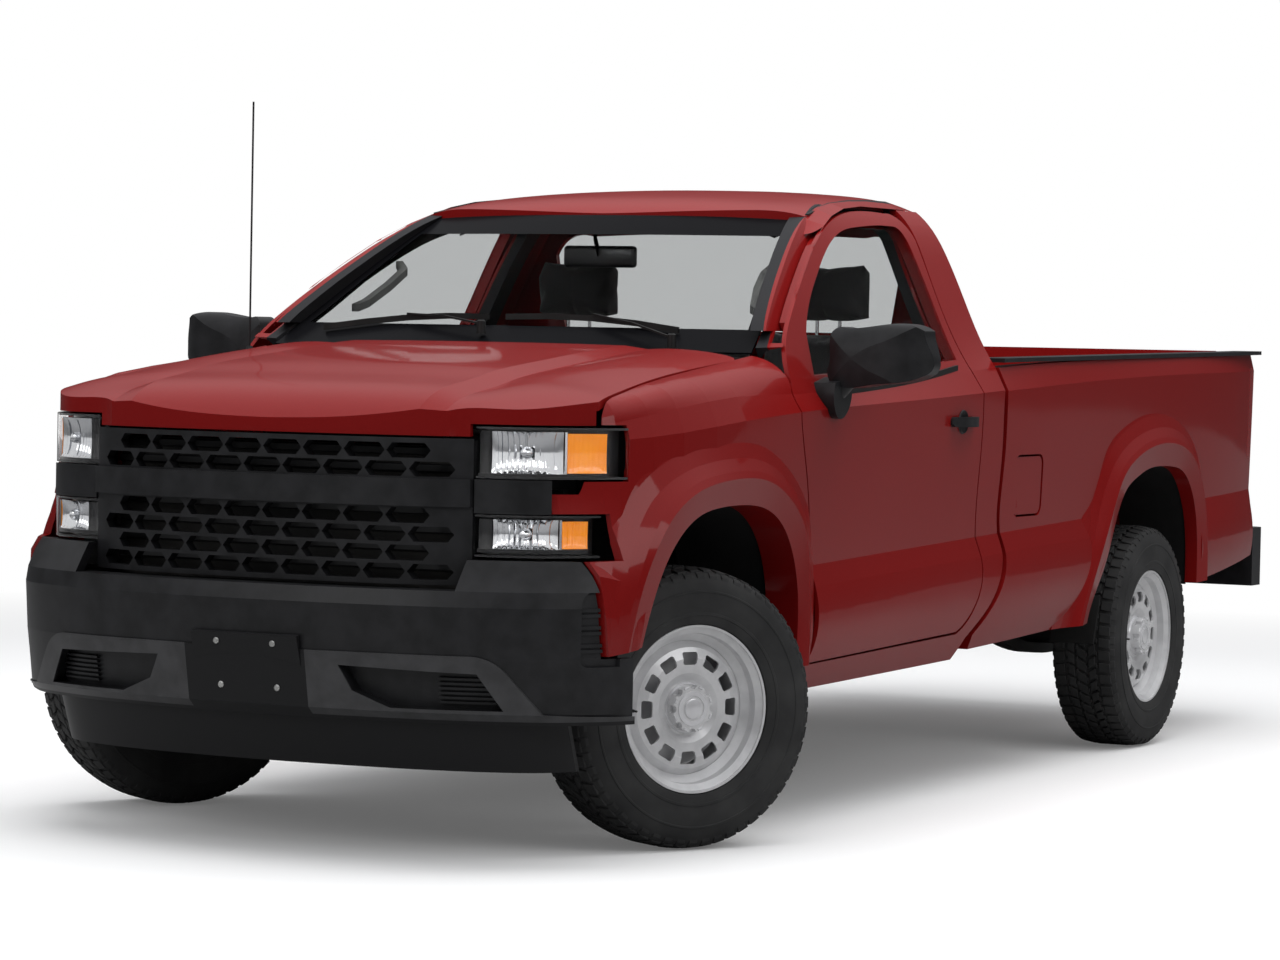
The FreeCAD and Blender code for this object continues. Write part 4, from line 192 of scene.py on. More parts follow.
# Bare moulded plastic: grille, bumpers, rail caps, mirrors and trim in a grained
# black, a little shiny on its crests. The front bumper's lower trim is satin grey, with
# the air dam and the blank plate's bracket black.
black_plastic = grained("grained_black_plastic", (0.010, 0.010, 0.011), (0.018, 0.018, 0.020),
                        scale=420.0, strength=0.25, distance=0.0006, rough=(0.36, 0.48))
dress(["grille", "front_bumper", "rear_bumper", "rail_caps", "door_trim_left", "door_trim_right", "cowl"],
      black_plastic)
satin_plastic = grained("satin_grey_plastic", (0.050, 0.050, 0.052), (0.070, 0.070, 0.073),
                        scale=420.0, strength=0.2, distance=0.0005, rough=(0.30, 0.40), metallic=0.25)
nodes, links = satin_plastic.node_tree.nodes, satin_plastic.node_tree.links
dam_top_z, bracket_half = 0.395, 0.19
dam_black, dam_rough = (0.013, 0.013, 0.014), 0.42
axes = object_axes(nodes, links)
dam_share = worked("LESS_THAN", axes["Z"], dam_top_z)
bracket_share = worked("LESS_THAN", worked("ABSOLUTE", axes["Y"], 0.0), bracket_half)
second_coat(nodes, links, dam_black, dam_rough, worked("MAXIMUM", dam_share, bracket_share))
dress(["front_lower_trim"], satin_plastic)


# Under parts: pressed rails, carrier, axle, springs and tank in satin black paint, bare
# rough castings for the engine and knuckles, dull steel pipes, and moulded wheel liners.
chassis_black = grained("satin_chassis_black", (0.010, 0.010, 0.010), (0.026, 0.024, 0.022),
                        scale=60.0, strength=0.2, distance=0.001, rough=(0.45, 0.7))
dress(["frame", "rear_axle", "front_carrier", "fuel_tank"], chassis_black)
cast_iron = grained("rough_casting", (0.06, 0.06, 0.062), (0.13, 0.13, 0.13),
                    scale=90.0, strength=0.4, distance=0.001, rough=(0.5, 0.75), metallic=0.7)
dress(["engine", "knuckle_left", "knuckle_right"], cast_iron)
pipe_steel = grained("dull_pipe_steel", (0.20, 0.19, 0.18), (0.35, 0.33, 0.30),
                     scale=40.0, strength=0.1, distance=0.001, rough=(0.4, 0.6), metallic=0.9)
dress(["exhaust"], pipe_steel)
liner_plastic = grained("rough_liner", (0.006, 0.006, 0.006), (0.013, 0.013, 0.013),
                        scale=150.0, strength=0.4, distance=0.001, rough=(0.75, 0.95))
dress(["wheel_liners"], liner_plastic)


# Tyres: moulded rubber on a radial casing, with five rows of blocks round the tread,
# lugs over the shoulders and plain raised bands on the side wall. One tyre is modelled
# at the origin and set on each wheel.
rubber = grained("tyre_rubber", (0.022, 0.022, 0.0225), (0.040, 0.040, 0.040),
                 scale=200.0, strength=0.25, distance=0.0006, rough=(0.62, 0.8))


def pick(piece):
    """Make one piece the active one, and the only one selected."""
    deselect()
    piece.select_set(True)
    bpy.context.view_layer.objects.active = piece


def hold(piece, kind="VERT"):
    """Open one piece for editing, with all of it selected."""
    pick(piece)
    bpy.ops.object.mode_set(mode="EDIT")
    bpy.ops.mesh.select_mode(type=kind)
    bpy.ops.mesh.select_all(action="SELECT")


def let_go():
    bpy.ops.object.mode_set(mode="OBJECT")
    return bpy.context.active_object


def settle_place(piece):
    pick(piece)
    bpy.ops.object.transform_apply(location=True, rotation=True, scale=True)


def apply_modifier(piece, kind, **settings):
    """One of Blender's modifiers, set and applied."""
    pick(piece)
    modifier = piece.modifiers.new(kind.lower(), kind)
    for key, value in settings.items():
        setattr(modifier, key, value)
    bpy.ops.object.modifier_apply(modifier=modifier.name)


def outline_ring(points, filled):
    """A flat loop with one corner at each point, open or filled."""
    deselect()
    fill = "NGON" if filled else "NOTHING"
    bpy.ops.mesh.primitive_circle_add(vertices=len(points), radius=1, fill_type=fill)
    piece = bpy.context.active_object
    for vertex, point in zip(piece.data.vertices, points):
        vertex.co = point
    return piece


def turned(profile, steps, centre, axis):
    """A closed section spun round an axis."""
    piece = outline_ring(profile, False)
    hold(piece)
    bpy.ops.mesh.spin(steps=steps, angle=2 * math.pi, center=centre, axis=axis)
    bpy.ops.mesh.select_all(action="SELECT")
    bpy.ops.mesh.remove_doubles(threshold=0.00002)
    bpy.ops.mesh.normals_make_consistent(inside=False)
    return let_go()


def block(low, high, bevel=0.004, segments=2):
    """A cube of a size, with its edges rounded."""
    deselect()
    middle = [(a + b) / 2 for a, b in zip(low, high)]
    bpy.ops.mesh.primitive_cube_add(size=1, location=middle)
    piece = bpy.context.active_object
    piece.scale = [abs(b - a) for a, b in zip(low, high)]
    settle_place(piece)
    if bevel:
        hold(piece, "EDGE")
        bpy.ops.mesh.bevel(offset=bevel, segments=segments, affect="EDGES")
        let_go()
    return piece


def joined(pieces):
    deselect()
    for piece in pieces:
        piece.select_set(True)
    bpy.context.view_layer.objects.active = pieces[0]
    bpy.ops.object.join()
    return bpy.context.active_object


def smooth(piece, degrees=35.0):
    pick(piece)
    bpy.ops.object.shade_smooth_by_angle(angle=math.radians(degrees))


def fit(piece, name, finish, body, slot, *stands_for):
    """Name a finished piece, give it its finish and set it on its body."""
    piece.name = name
    piece.data.name = name
    piece.data.materials.clear()
    piece.data.materials.append(finish)
    smooth(piece)
    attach(piece, body)
    if stands_for:
        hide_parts(*stands_for)
    return piece


sides = ((1, "left"), (-1, "right"))


def copied(piece, matrix):
    """A copy with its own mesh, moved in its mesh."""
    other = piece.copy()
    other.data = piece.data.copy()
    bpy.context.scene.collection.objects.link(other)
    other.data.transform(matrix)
    if matrix.determinant() < 0:
        other.data.flip_normals()
    return other


# casing profile: radius and distance along the axle, one half from the bead out
casing_half = [(0.2183, 0.0925), (0.2358, 0.0992), (0.2385, 0.112), (0.252, 0.1175), (0.262, 0.1195),
               (0.2635, 0.1215), (0.270, 0.1218), (0.2715, 0.1205), (0.290, 0.1235), (0.305, 0.1242),
               (0.325, 0.1235), (0.3265, 0.1252), (0.331, 0.1250), (0.3325, 0.1225), (0.350, 0.1195),
               (0.366, 0.1135), (0.377, 0.1060), (0.3835, 0.0960), (0.3845, 0.0800), (0.3850, 0.0)]
inner_half = [(0.374, 0.085), (0.350, 0.107), (0.300, 0.113), (0.240, 0.082), (0.2166, 0.0722)]
casing = [(0, a, r) for r, a in casing_half] + [(0, -a, r) for r, a in casing_half[-2::-1]]
casing += [(0, -a, r) for r, a in inner_half[::-1]] + [(0, a, r) for r, a in inner_half]
origin, axle_line = (0, 0, 0), (0, 1, 0)
casing_steps = 96
carcass = turned(casing, casing_steps, origin, axle_line)
pitch_count = 56
pitch_reach = 0.390
pitch_run = 2 * math.pi * pitch_reach / pitch_count
tread_top = 0.394
tread_floor = 0.379
block_bevel = 0.0014


def tread_block(x_middle, x_size, y_from, y_to, top, floor, slant, drop=0.0):
    """One tread block: skewed along the axle and, on a shoulder, dropped outwards."""
    piece = block((x_middle - x_size / 2, y_from, floor), (x_middle + x_size / 2, y_to, top), 0)
    y_outer = y_to if abs(y_to) > abs(y_from) else y_from
    for vertex in piece.data.vertices:
        vertex.co.x += slant * vertex.co.y
        if abs(vertex.co.y - y_outer) < 0.0001:
            vertex.co.z -= drop
    hold(piece, "EDGE")
    bpy.ops.mesh.bevel(offset=block_bevel, segments=1, affect="EDGES")
    return let_go()


def repeated(piece, count):
    """The piece set round the wheel's axle a number of times."""
    hold(piece)
    bpy.ops.mesh.spin(steps=count - 1, angle=2 * math.pi * (count - 1) / count, center=origin,
                      axis=axle_line, dupli=True)
    return let_go()


# middle row: place and length in pitches, span along the axle, slant
middle_rows = [(0.0, 0.74, -0.017, 0.015, 0.55), (0.3, 0.36, -0.022, -0.013, -0.4),
               (0.3, 0.36, 0.013, 0.021, -0.4)]
# each side's rows, from within: the same, with top, floor, left and right slant, and drop
side_rows = [(0.15, 0.76, 0.026, 0.050, tread_top, tread_floor, -0.5, 0.5, 0.0),
             (0.45, 0.34, 0.048, 0.058, tread_top - 0.001, tread_floor, 0.4, 0.4, 0.0),
             (-0.1, 0.74, 0.063, 0.1015, tread_top - 0.0012, tread_floor - 0.006, 0.12, -0.12, 0.0065),
             (-0.1, 0.62, 0.1000, 0.1145, 0.3835, 0.3560, 0.0, 0.0, 0.0105)]
blocks = [tread_block(pitch_run * at, pitch_run * length, y_from, y_to, tread_top, tread_floor, slant)
          for at, length, y_from, y_to, slant in middle_rows]
for side in (1, -1):
    for at, length, y_from, y_to, top, floor, left, right, drop in side_rows:
        blocks.append(tread_block(pitch_run * at * side, pitch_run * length, y_from * side, y_to * side,
                                  top, floor, left if side > 0 else right, drop))
pitch = joined(blocks)
for vertex in pitch.data.vertices:
    angle, reach = vertex.co.x / pitch_reach, vertex.co.z
    vertex.co.x, vertex.co.z = reach * math.sin(angle), reach * math.cos(angle)
tyre_model = joined([carcass, repeated(pitch, pitch_count)])
steer_rest = math.radians(-30.4)
corners = []
for corner, side, turn in (("front_left", 1, steer_rest), ("front_right", -1, steer_rest),
                           ("rear_left", 1, 0.0), ("rear_right", -1, 0.0)):
    low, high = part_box("tyre_" + corner)
    middle = [(a + b) / 2 for a, b in zip(low, high)]
    turn_in_place = Matrix.Rotation(turn, 4, "Z") @ Matrix.Diagonal((side, side, 1, 1))
    corners.append((corner, "wheel_" + corner, Matrix.Translation(middle) @ turn_in_place))
for corner, body, place in corners:
    fit(copied(tyre_model, place), "tyre_tread_" + corner, rubber, body, "tyre", "tyre_" + corner)
bpy.data.objects.remove(tyre_model)


# Wheels: pressed steel discs and rolled barrels in silver paint. Each has a brighter
# centre cap with raised rings and a crown of eight teeth, pushed in, and a rubber valve.
wheel_silver = grained("silver_wheel_paint", (0.66, 0.66, 0.67), (0.76, 0.76, 0.77),
                       scale=500.0, strength=0.05, distance=0.0004, rough=(0.26, 0.36),
                       metallic=0.25, coat=0.5)
cap_silver = grained("brighter_cap_paint", (0.72, 0.72, 0.74), (0.82, 0.82, 0.84),
                     scale=300.0, strength=0.03, distance=0.0003, rough=(0.2, 0.3), metallic=0.3, coat=0.6)
cap_face = 0.093
cap_steps, tooth_count, tooth_half = 48, 8, 0.0075
valve_reach, valve_steps = 0.196, 16
cap_sections = [[(0, cap_face - 0.004, 0.0), (0, cap_face - 0.004, 0.030), (0, cap_face + 0.003, 0.028),
                 (0, cap_face + 0.0045, 0.024), (0, cap_face + 0.005, 0.0)],
                [(0, cap_face - 0.004, 0.034), (0, cap_face - 0.004, 0.050), (0, cap_face + 0.002, 0.0485),
                 (0, cap_face + 0.002, 0.0355)],
                [(0, 0.050, 0.064), (0, 0.050, 0.074), (0, 0.058, 0.072), (0, 0.062, 0.0675),
                 (0, 0.062, 0.064)]]
cap_rings = [turned(section, cap_steps, origin, axle_line) for section in cap_sections]
teeth = repeated(block((0.058, cap_face - 0.006, -tooth_half), (0.0655, cap_face + 0.0022, tooth_half),
                       0.0015, 1), tooth_count)
teeth.data.transform(Matrix.Rotation(math.pi / tooth_count, 4, "Y"))
cap_model = joined(cap_rings + [teeth])
valve_half = [(0.078, 0), (0.078, 0.0048), (0.092, 0.0045), (0.094, 0.0030), (0.108, 0.0030), (0.110, 0.0)]
valve_model = turned([(valve_reach, along, out) for along, out in valve_half], valve_steps,
                     (valve_reach, 0, 0), axle_line)
for corner, body, place in corners:
    dress(["rim_" + corner], wheel_silver)
    fit(copied(cap_model, place), "cap_detail_" + corner, cap_silver, body, "wheel_steel")
    fit(copied(valve_model, place), "valve_" + corner, rubber, body, "tyre")
for model in (cap_model, valve_model):
    bpy.data.objects.remove(model)


# Head lamps: a black housing behind a clear cover at each front corner, with a fluted
# bright bowl and bulb, an amber turn reflector outboard and a black end inboard, the
# same in the upper and the lower lamp.
axle_x = 1.9595
corner_line = [(0.753, 0.604), (0.745, 0.660), (0.720, 0.735), (0.680, 0.790), (0.620, 0.838),
               (0.550, 0.880), (0.470, 0.918)]
flute_turns, sheet_thickness = 19.0, 0.0015


def corner_at(y, sink):
    """A point on the lamps' plan curve at a width, sunk square to the curve."""
    for (x0, y0), (x1, y1) in zip(corner_line, corner_line[1:]):
        if y <= y1:
            break
    share = (y - y0) / (y1 - y0)
    run = math.hypot(x1 - x0, y1 - y0)
    return axle_x + x0 + (x1 - x0) * share - (y1 - y0) / run * sink, y + (x1 - x0) / run * sink


def lamp_sheet(y_from, y_to, z_from, z_to, sink, bowl, flutes, columns=28, rows=12):
    """A sheet behind the lamp cover, hollowed like a bowl, with upright flutes."""
    deselect()
    bpy.ops.mesh.primitive_grid_add(x_subdivisions=columns, y_subdivisions=rows, size=2)
    piece = bpy.context.active_object
    for vertex in piece.data.vertices:
        u, v = vertex.co.x, vertex.co.y
        depth = bowl * math.sqrt(max(0.0, 1 - u * u * 0.96)) * math.sqrt(max(0.0, 1 - v * v * 0.9))
        depth += flutes * abs(math.sin(u * flute_turns)) * (1 if v > -0.9 else 0)
        x, y = corner_at((y_from + y_to) / 2 + (y_to - y_from) / 2 * u, sink + depth)
        vertex.co = (x, y, (z_from + z_to) / 2 + (z_to - z_from) / 2 * v)
    hold(piece)
    bpy.ops.mesh.normals_make_consistent(inside=False)
    let_go()
    apply_modifier(piece, "SOLIDIFY", thickness=sheet_thickness)
    return piece


def drawn_out(piece, step):
    """A filled flat loop drawn out into a closed solid."""
    hold(piece)
    bpy.ops.mesh.extrude_region_move(TRANSFORM_OT_translate={"value": step})
    bpy.ops.mesh.select_all(action="SELECT")
    bpy.ops.mesh.normals_make_consistent(inside=False)
    return let_go()


def see_through(name, colour, bend, film_scale, film_rough):
    """A clear glass or plastic with a faint film on it."""
    finish, nodes, links, shader = new_finish(name)
    streak = grain_node(nodes, links, film_scale)
    film = value_between(nodes, links, streak.outputs["Fac"], 0.0, film_rough)
    links.new(film.outputs["Result"], shader.inputs["Roughness"])
    shader.inputs["Base Color"].default_value = (*colour, 1)
    shader.inputs["Transmission Weight"].default_value = 1.0
    shader.inputs["IOR"].default_value = bend
    return finish, nodes, links, shader


lamp_black = grained("lamp_housing_black", (0.010, 0.010, 0.011), (0.022, 0.022, 0.024),
                     scale=120.0, strength=0.05, distance=0.0005, rough=(0.25, 0.35), coat=0.3)
dress(["headlamp_bodies"], lamp_black)
bright = grained("bright_reflector", (0.50, 0.51, 0.53), (0.80, 0.81, 0.83),
                 scale=30.0, strength=0.05, distance=0.001, rough=(0.05, 0.14), metallic=1.0)
amber = grained("amber_turn_lens", (0.85, 0.22, 0.006), (1.0, 0.36, 0.012),
                scale=90.0, strength=0.3, distance=0.002, rough=(0.12, 0.25), coat=1.0, stretch=(1, 1, 6))
amber_shader = amber.node_tree.nodes["Principled BSDF"]
amber_shader.inputs["Emission Color"].default_value = (1.0, 0.28, 0.01, 1)
amber_shader.inputs["Emission Strength"].default_value = 0.25
dress(["headlamp_lenses"], see_through("clear_lamp_cover", (0.95, 0.95, 0.95), 1.05, 8.0, 0.02)[0])
lamp_inner_y, ledge_inner_y, ledge_back_y = 0.612, 0.610, 0.625
lamp_gap, bowl_depth, flute_depth, turn_flute_depth = 0.003, 0.026, 0.0045, 0.0018
bulb_sink, bulb_steps = 0.030, 20
ledge_front, ledge_back, ledge_height = 0.007, 0.040, 0.010
ledge_bends = (0.66, 0.735, 0.79, 0.838)
# each lamp: bottom, top, where the amber starts, outer end, where the bowl starts
lamp_rows = [("upper", 1.054, 1.166, 0.822, 0.890, 0.645), ("lower", 0.852, 0.931, 0.815, 0.862, 0.652)]
mirror_y = Matrix.Diagonal((1, -1, 1, 1))
for name, z_low, z_top, split_y, end_y, start_y in lamp_rows:
    middle_z = (z_low + z_top) / 2
    bowl = lamp_sheet(start_y, split_y - 0.004, z_low, z_top, 0.010, bowl_depth, flute_depth, 72, 14)
    wall = lamp_sheet(split_y - lamp_gap, split_y + 0.001, z_low, z_top, 0.008, 0.0, 0.0, 2, 2)
    bulb_x, bulb_y = corner_at((start_y + split_y) / 2, bulb_sink)
    bulb_half = [(-0.010, 0.0), (-0.010, 0.016), (0.004, 0.015), (0.013, 0.009), (0.016, 0.0)]
    bulb = turned([(bulb_x + along, bulb_y, middle_z + out) for along, out in bulb_half], bulb_steps,
                  (bulb_x, bulb_y, middle_z), (1, 0, 0))
    chrome = joined([bowl, wall, bulb])
    turn = lamp_sheet(split_y + lamp_gap, end_y, z_low + 0.002, z_top - 0.004, 0.011, 0.010,
                      turn_flute_depth, 20, 10)
    end = lamp_sheet(lamp_inner_y, start_y - lamp_gap, z_low, z_top, 0.012, 0.006, 0.0, 6, 6)
    shelf = [corner_at(y, ledge_front) for y in (ledge_inner_y, *ledge_bends, end_y)]
    shelf += [corner_at(y, ledge_back) for y in (end_y, *ledge_bends[::-1], ledge_back_y)]
    ledge = drawn_out(outline_ring([(x, y, z_low - ledge_height) for x, y in shelf], True),
                      (0, 0, ledge_height))
    for piece, title, finish, slot in ((chrome, "reflector", bright, "lamp_chrome"),
                                       (turn, "turn", amber, "lens"),
                                       (joined([end, ledge]), "bezel", lamp_black, "black_trim")):
        fit(copied(piece, mirror_y), f"lamp_{name}_{title}_right", finish, "chassis", slot)
        fit(piece, f"lamp_{name}_{title}_left", finish, "chassis", slot)


# Front bumper fastenings: the blank plate's bracket is held by four zinc-plated steel
# screws with domed heads, driven in from the front.
def hit(node, start, direction):
    """Where a line from outside first meets a CAD node."""
    found, place, *_ = shown[node].ray_cast(Vector(start), Vector(direction))
    return place if found else None


screw_steel = grained("zinc_screw", (0.45, 0.45, 0.44), (0.62, 0.62, 0.60),
                      scale=200.0, strength=0.1, distance=0.0004, rough=(0.25, 0.4), metallic=0.9)
screw_columns, screw_levels, ahead_x = (-0.080, 0.098), (0.462, 0.583), 4.0
screw_half = [(-0.002, 0.0), (-0.002, 0.009), (0.002, 0.009), (0.0045, 0.006), (0.0045, 0.0)]
screws = []
for y in screw_columns:
    for z in screw_levels:
        place = hit("front_lower_trim", (ahead_x, y, z), (-1, 0, 0))
        if place is not None:
            screws.append(turned([(place.x + along, y, z + out) for along, out in screw_half], 16,
                                 (place.x, y, z), (1, 0, 0)))
if screws:
    fit(joined(screws), "plate_screws", screw_steel, "chassis", "black_trim")


# Grille backing: a black moulded shutter frame behind the cells, with cross slats,
# clipped to the carrier.
slat_half, slat_height, slat_front = 0.560, 0.022, 0.712
slat_levels = (0.785, 0.835, 0.885, 0.935, 1.050, 1.095)
slats = [block((axle_x + slat_front - 0.012, -slat_half, z),
               (axle_x + slat_front, slat_half, z + slat_height), 0.003, 1) for z in slat_levels]
fit(joined(slats), "grille_shutter_slats", lamp_black, "chassis", "black_trim")


# Cowl and wipers: two black pressed arms on splined posts at the windscreen's foot,
# each with a rubber blade that lies low on the glass.
wiper_black = grained("wiper_black", (0.008, 0.008, 0.008), (0.016, 0.016, 0.016),
                      scale=300.0, strength=0.15, distance=0.0004, rough=(0.4, 0.55))
above_z = 2.4


def strip(points, half_width, half_height, along_y=False):
    """A flat bar through points, its section kept upright, with closed ends."""
    side = (0, half_width, 0) if not along_y else (half_width, 0, 0)
    first = Vector(points[0])
    corners = [first + Vector(side) * a + Vector((0, 0, half_height)) * b for a, b in
               ((-1, -1), (1, -1), (1, 1), (-1, 1))]
    piece = outline_ring(corners, True)
    hold(piece)
    for start, end in zip(points, points[1:]):
        step = Vector(end) - Vector(start)
        bpy.ops.mesh.extrude_region_move(TRANSFORM_OT_translate={"value": step})
    bpy.ops.mesh.select_all(action="SELECT")
    bpy.ops.mesh.normals_make_consistent(inside=False)
    return let_go()


def on_glass(y, reach):
    """A point on the windscreen, a reach up from its foot."""
    return hit("cab_glass", (axle_x - 0.50 - reach, y, above_z), (0, 0, -1))


wiper_spans = ((0.56, -0.02), (-0.08, -0.66))
wiper_reach, wiper_bow = 0.045, 0.012
hub_half = [(0.0, -0.030), (0.014, -0.030), (0.013, 0.008), (0.008, 0.012), (0.0, 0.012)]
for number, (post_y, tip_y) in enumerate(wiper_spans):
    spots = []
    for share in (0.0, 0.25, 0.5, 0.75, 1.0):
        y = post_y + (tip_y - post_y) * share
        place = on_glass(y, wiper_reach + wiper_bow * (1 - (2 * share - 1) ** 2))
        if place is not None:
            spots.append((place.x + 0.004, y, place.z + 0.014))
    if len(spots) < 2:
        continue
    blade = strip(spots, 0.006, 0.009, True)
    post = (spots[0][0] + 0.075, post_y + 0.015, spots[0][2] - 0.022)
    middle = spots[2]
    elbow = ((post[0] + middle[0]) / 2, (post[1] + middle[1]) / 2, (post[2] + middle[2]) / 2 + 0.014)
    arm = strip([post, elbow, (middle[0], middle[1], middle[2] + 0.012)], 0.008, 0.003, True)
    hub = turned([(post[0] + out, post[1], post[2] + up) for out, up in hub_half], 16,
                 (post[0], post[1], 0), (0, 0, 1))
    fit(joined([blade, arm, hub]), f"wiper_{number + 1}", wiper_black, "chassis", "black_trim")


# Window glass: tinted, with a black baked band round the windscreen's edge and along
# its top, where the black band is partly the baked band and partly painted shade of the
# dark cab inside under the roof, and a moulded rubber belt seal under each door's window.
glass_tint, glass_bend = (0.66, 0.67, 0.67), 1.02
tinted = see_through("tinted_window_glass", glass_tint, glass_bend, 3.0, 0.015)[0]
dress(["door_glass_left", "door_glass_right"], tinted)
banded, nodes, links, shader = see_through("windscreen_with_black_band_and_painted_shade", glass_tint, glass_bend, 3.0, 0.015)
baked = nodes.new("ShaderNodeBsdfPrincipled")
baked.inputs["Base Color"].default_value = (0.006, 0.006, 0.007, 1)
baked.inputs["Roughness"].default_value = 0.25
baked.inputs["IOR"].default_value = 1.08
glass_lean, foot_half, foot_z, band_width = 0.419, 0.80, 1.45, 0.045
top_band_painted_shade_z, band_low_z, cab_middle_x = 1.742, 1.452, axle_x - 1.45
axes = object_axes(nodes, links)
lean = worked("ADD", worked("ABSOLUTE", axes["Y"], 0.0), worked("MULTIPLY", axes["Z"], glass_lean))
side_band = worked("GREATER_THAN", lean, foot_half + glass_lean * foot_z - band_width)
# the black band along the top is partly the baked band and partly painted shade under the roof
top_band_with_painted_shade = worked("GREATER_THAN", axes["Z"], top_band_painted_shade_z)
low_band = worked("LESS_THAN", axes["Z"], band_low_z)
in_front = worked("GREATER_THAN", axes["X"], cab_middle_x)
band = worked("MAXIMUM", worked("MAXIMUM", side_band, top_band_with_painted_shade), low_band)
mix = nodes.new("ShaderNodeMixShader")
links.new(worked("MULTIPLY", band, in_front), mix.inputs["Fac"])
links.new(shader.outputs["BSDF"], mix.inputs[1])
links.new(baked.outputs["BSDF"], mix.inputs[2])
links.new(mix.outputs["Shader"], nodes["Material Output"].inputs["Surface"])
dress(["cab_glass"], banded)

seal_rubber = grained("seal_rubber", (0.008, 0.008, 0.008), (0.015, 0.015, 0.015),
                      scale=250.0, strength=0.1, distance=0.0004, rough=(0.45, 0.6))
belt_points = [(-0.704, 1.265), (-0.90, 1.276), (-1.10, 1.287), (-1.30, 1.300), (-1.50, 1.318),
               (-1.757, 1.347)]
beside_y = 1.4
for side, hand in sides:
    spots = []
    for x, z in belt_points:
        place = hit("door_" + hand, (axle_x + x, side * beside_y, z), (0, -side, 0))
        if place is not None:
            spots.append((axle_x + x, place.y + 0.0005 * side, z))
    if len(spots) > 2:
        fit(strip(spots, 0.0045, 0.009), "belt_seal_" + hand, seal_rubber, f"door_{hand}_body", "black_trim")


# Roof ditch mouldings: a black rubber strip lies in the joint between the roof and
# each side, from the windscreen to the cab's back.
roof_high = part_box("roof")[1]
ditch_start, ditch_step, ditch_spots = 0.10, 0.085, 9
for side, hand in sides:
    spots = []
    for step in range(ditch_spots):
        x = roof_high[0] - ditch_start - step * ditch_step
        for back_off in (0.004, 0.008, 0.014, 0.022, 0.032, 0.045, 0.06):
            place = hit("roof", (x, side * (roof_high[1] - back_off), above_z), (0, 0, -1))
            if place is not None:
                spots.append((x, place.y, place.z + 0.0015))
                break
    if len(spots) > 2:
        fit(strip(spots, 0.006, 0.0025), "roof_moulding_" + hand, seal_rubber, "chassis", "black_trim")


# Mirrors and handles: silvered mirror glass in each head, and in the door a round black
# moulded cup behind each pull handle with the lock's ring behind it.
mirror_glass = grained("mirror_glass", (0.72, 0.74, 0.75), (0.80, 0.82, 0.83),
                       scale=20.0, strength=0.01, distance=0.0004, rough=(0.02, 0.05), metallic=1.0)
mirror_outline = [(1.018, 1.336), (1.030, 1.329), (1.250, 1.329), (1.263, 1.340), (1.263, 1.436),
                  (1.250, 1.448), (1.034, 1.448), (1.018, 1.438)]
mirror_middle = (1.14, 1.39)
handle_x, lock_x, handle_z, door_probe_z = axle_x - 1.70, axle_x - 1.625, 1.178, 1.215
cup_half = [(0.0015, 0.0), (0.0015, 0.030), (0.004, 0.036), (-0.004, 0.040), (-0.004, 0.0)]
lock_half = [(0.004, 0.0), (0.004, 0.012), (-0.004, 0.013), (-0.004, 0.0)]
for side, hand in sides:
    body = f"door_{hand}_body"
    place = hit("door_trim_" + hand, (axle_x - 1.2, side * mirror_middle[0], mirror_middle[1]), (1, 0, 0))
    if place is not None:
        glass = outline_ring([(place.x - 0.001, side * y, z) for y, z in mirror_outline], True)
        fit(drawn_out(glass, (-0.003, 0, 0)), "mirror_glass_" + hand, mirror_glass, body, "glass")
    place = hit("door_" + hand, (handle_x, side * beside_y, door_probe_z), (0, -side, 0))
    if place is not None:
        y = place.y
        cup = turned([(handle_x, y + side * along, handle_z + out) for along, out in cup_half], 32,
                     (handle_x, y, handle_z), axle_line)
        lock = turned([(lock_x, y + side * along, handle_z + out) for along, out in lock_half], 20,
                      (lock_x, y, handle_z), axle_line)
        fit(joined([cup, lock]), "handle_cup_" + hand, black_plastic, body, "black_trim")


# Tail lamps: a red moulded cover with a clear reversing window let into it on each
# side, and a long red high lamp over the cab's rear window.
lamp_red = grained("red_lamp", (0.30, 0.004, 0.004), (0.45, 0.008, 0.008),
                   scale=60.0, strength=0.02, distance=0.0005, rough=(0.08, 0.14), coat=1.0)
dress(["tail_lamps"], lamp_red)
lamp_clear = grained("clear_reversing_lens", (0.55, 0.56, 0.57), (0.72, 0.73, 0.74),
                     scale=80.0, strength=0.2, distance=0.001, rough=(0.08, 0.16), metallic=0.3, coat=1.0)
lamp_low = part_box("tail_lamps")[0]
window_low, window_top, window_inner, window_outer, window_probe_y = 1.150, 1.215, 0.835, 0.905, 0.865
behind = 0.5
for side, hand in sides:
    middle_z = (window_low + window_top) / 2
    place = hit("tail_lamps", (lamp_low[0] - behind, side * window_probe_y, middle_z), (1, 0, 0))
    if place is not None:
        window = block((place.x - 0.0015, side * window_inner, window_low),
                       (place.x + 0.006, side * window_outer, window_top), 0.0015, 1)
        fit(window, "reversing_lens_" + hand, lamp_clear, "chassis", "lens")
high_lamp_half, high_lamp_low, high_lamp_top = 0.16, 1.782, 1.812
from_behind = (axle_x - 3.0, 0.0, 1.80)
back_wall = hit("roof", from_behind, (1, 0, 0)) or hit("cab_shell", from_behind, (1, 0, 0))
if back_wall is not None:
    high_lamp = block((back_wall.x - 0.010, -high_lamp_half, high_lamp_low),
                      (back_wall.x + 0.012, high_lamp_half, high_lamp_top), 0.004)
    fit(high_lamp, "high_brake_lamp", lamp_red, "chassis", "lamp_red")


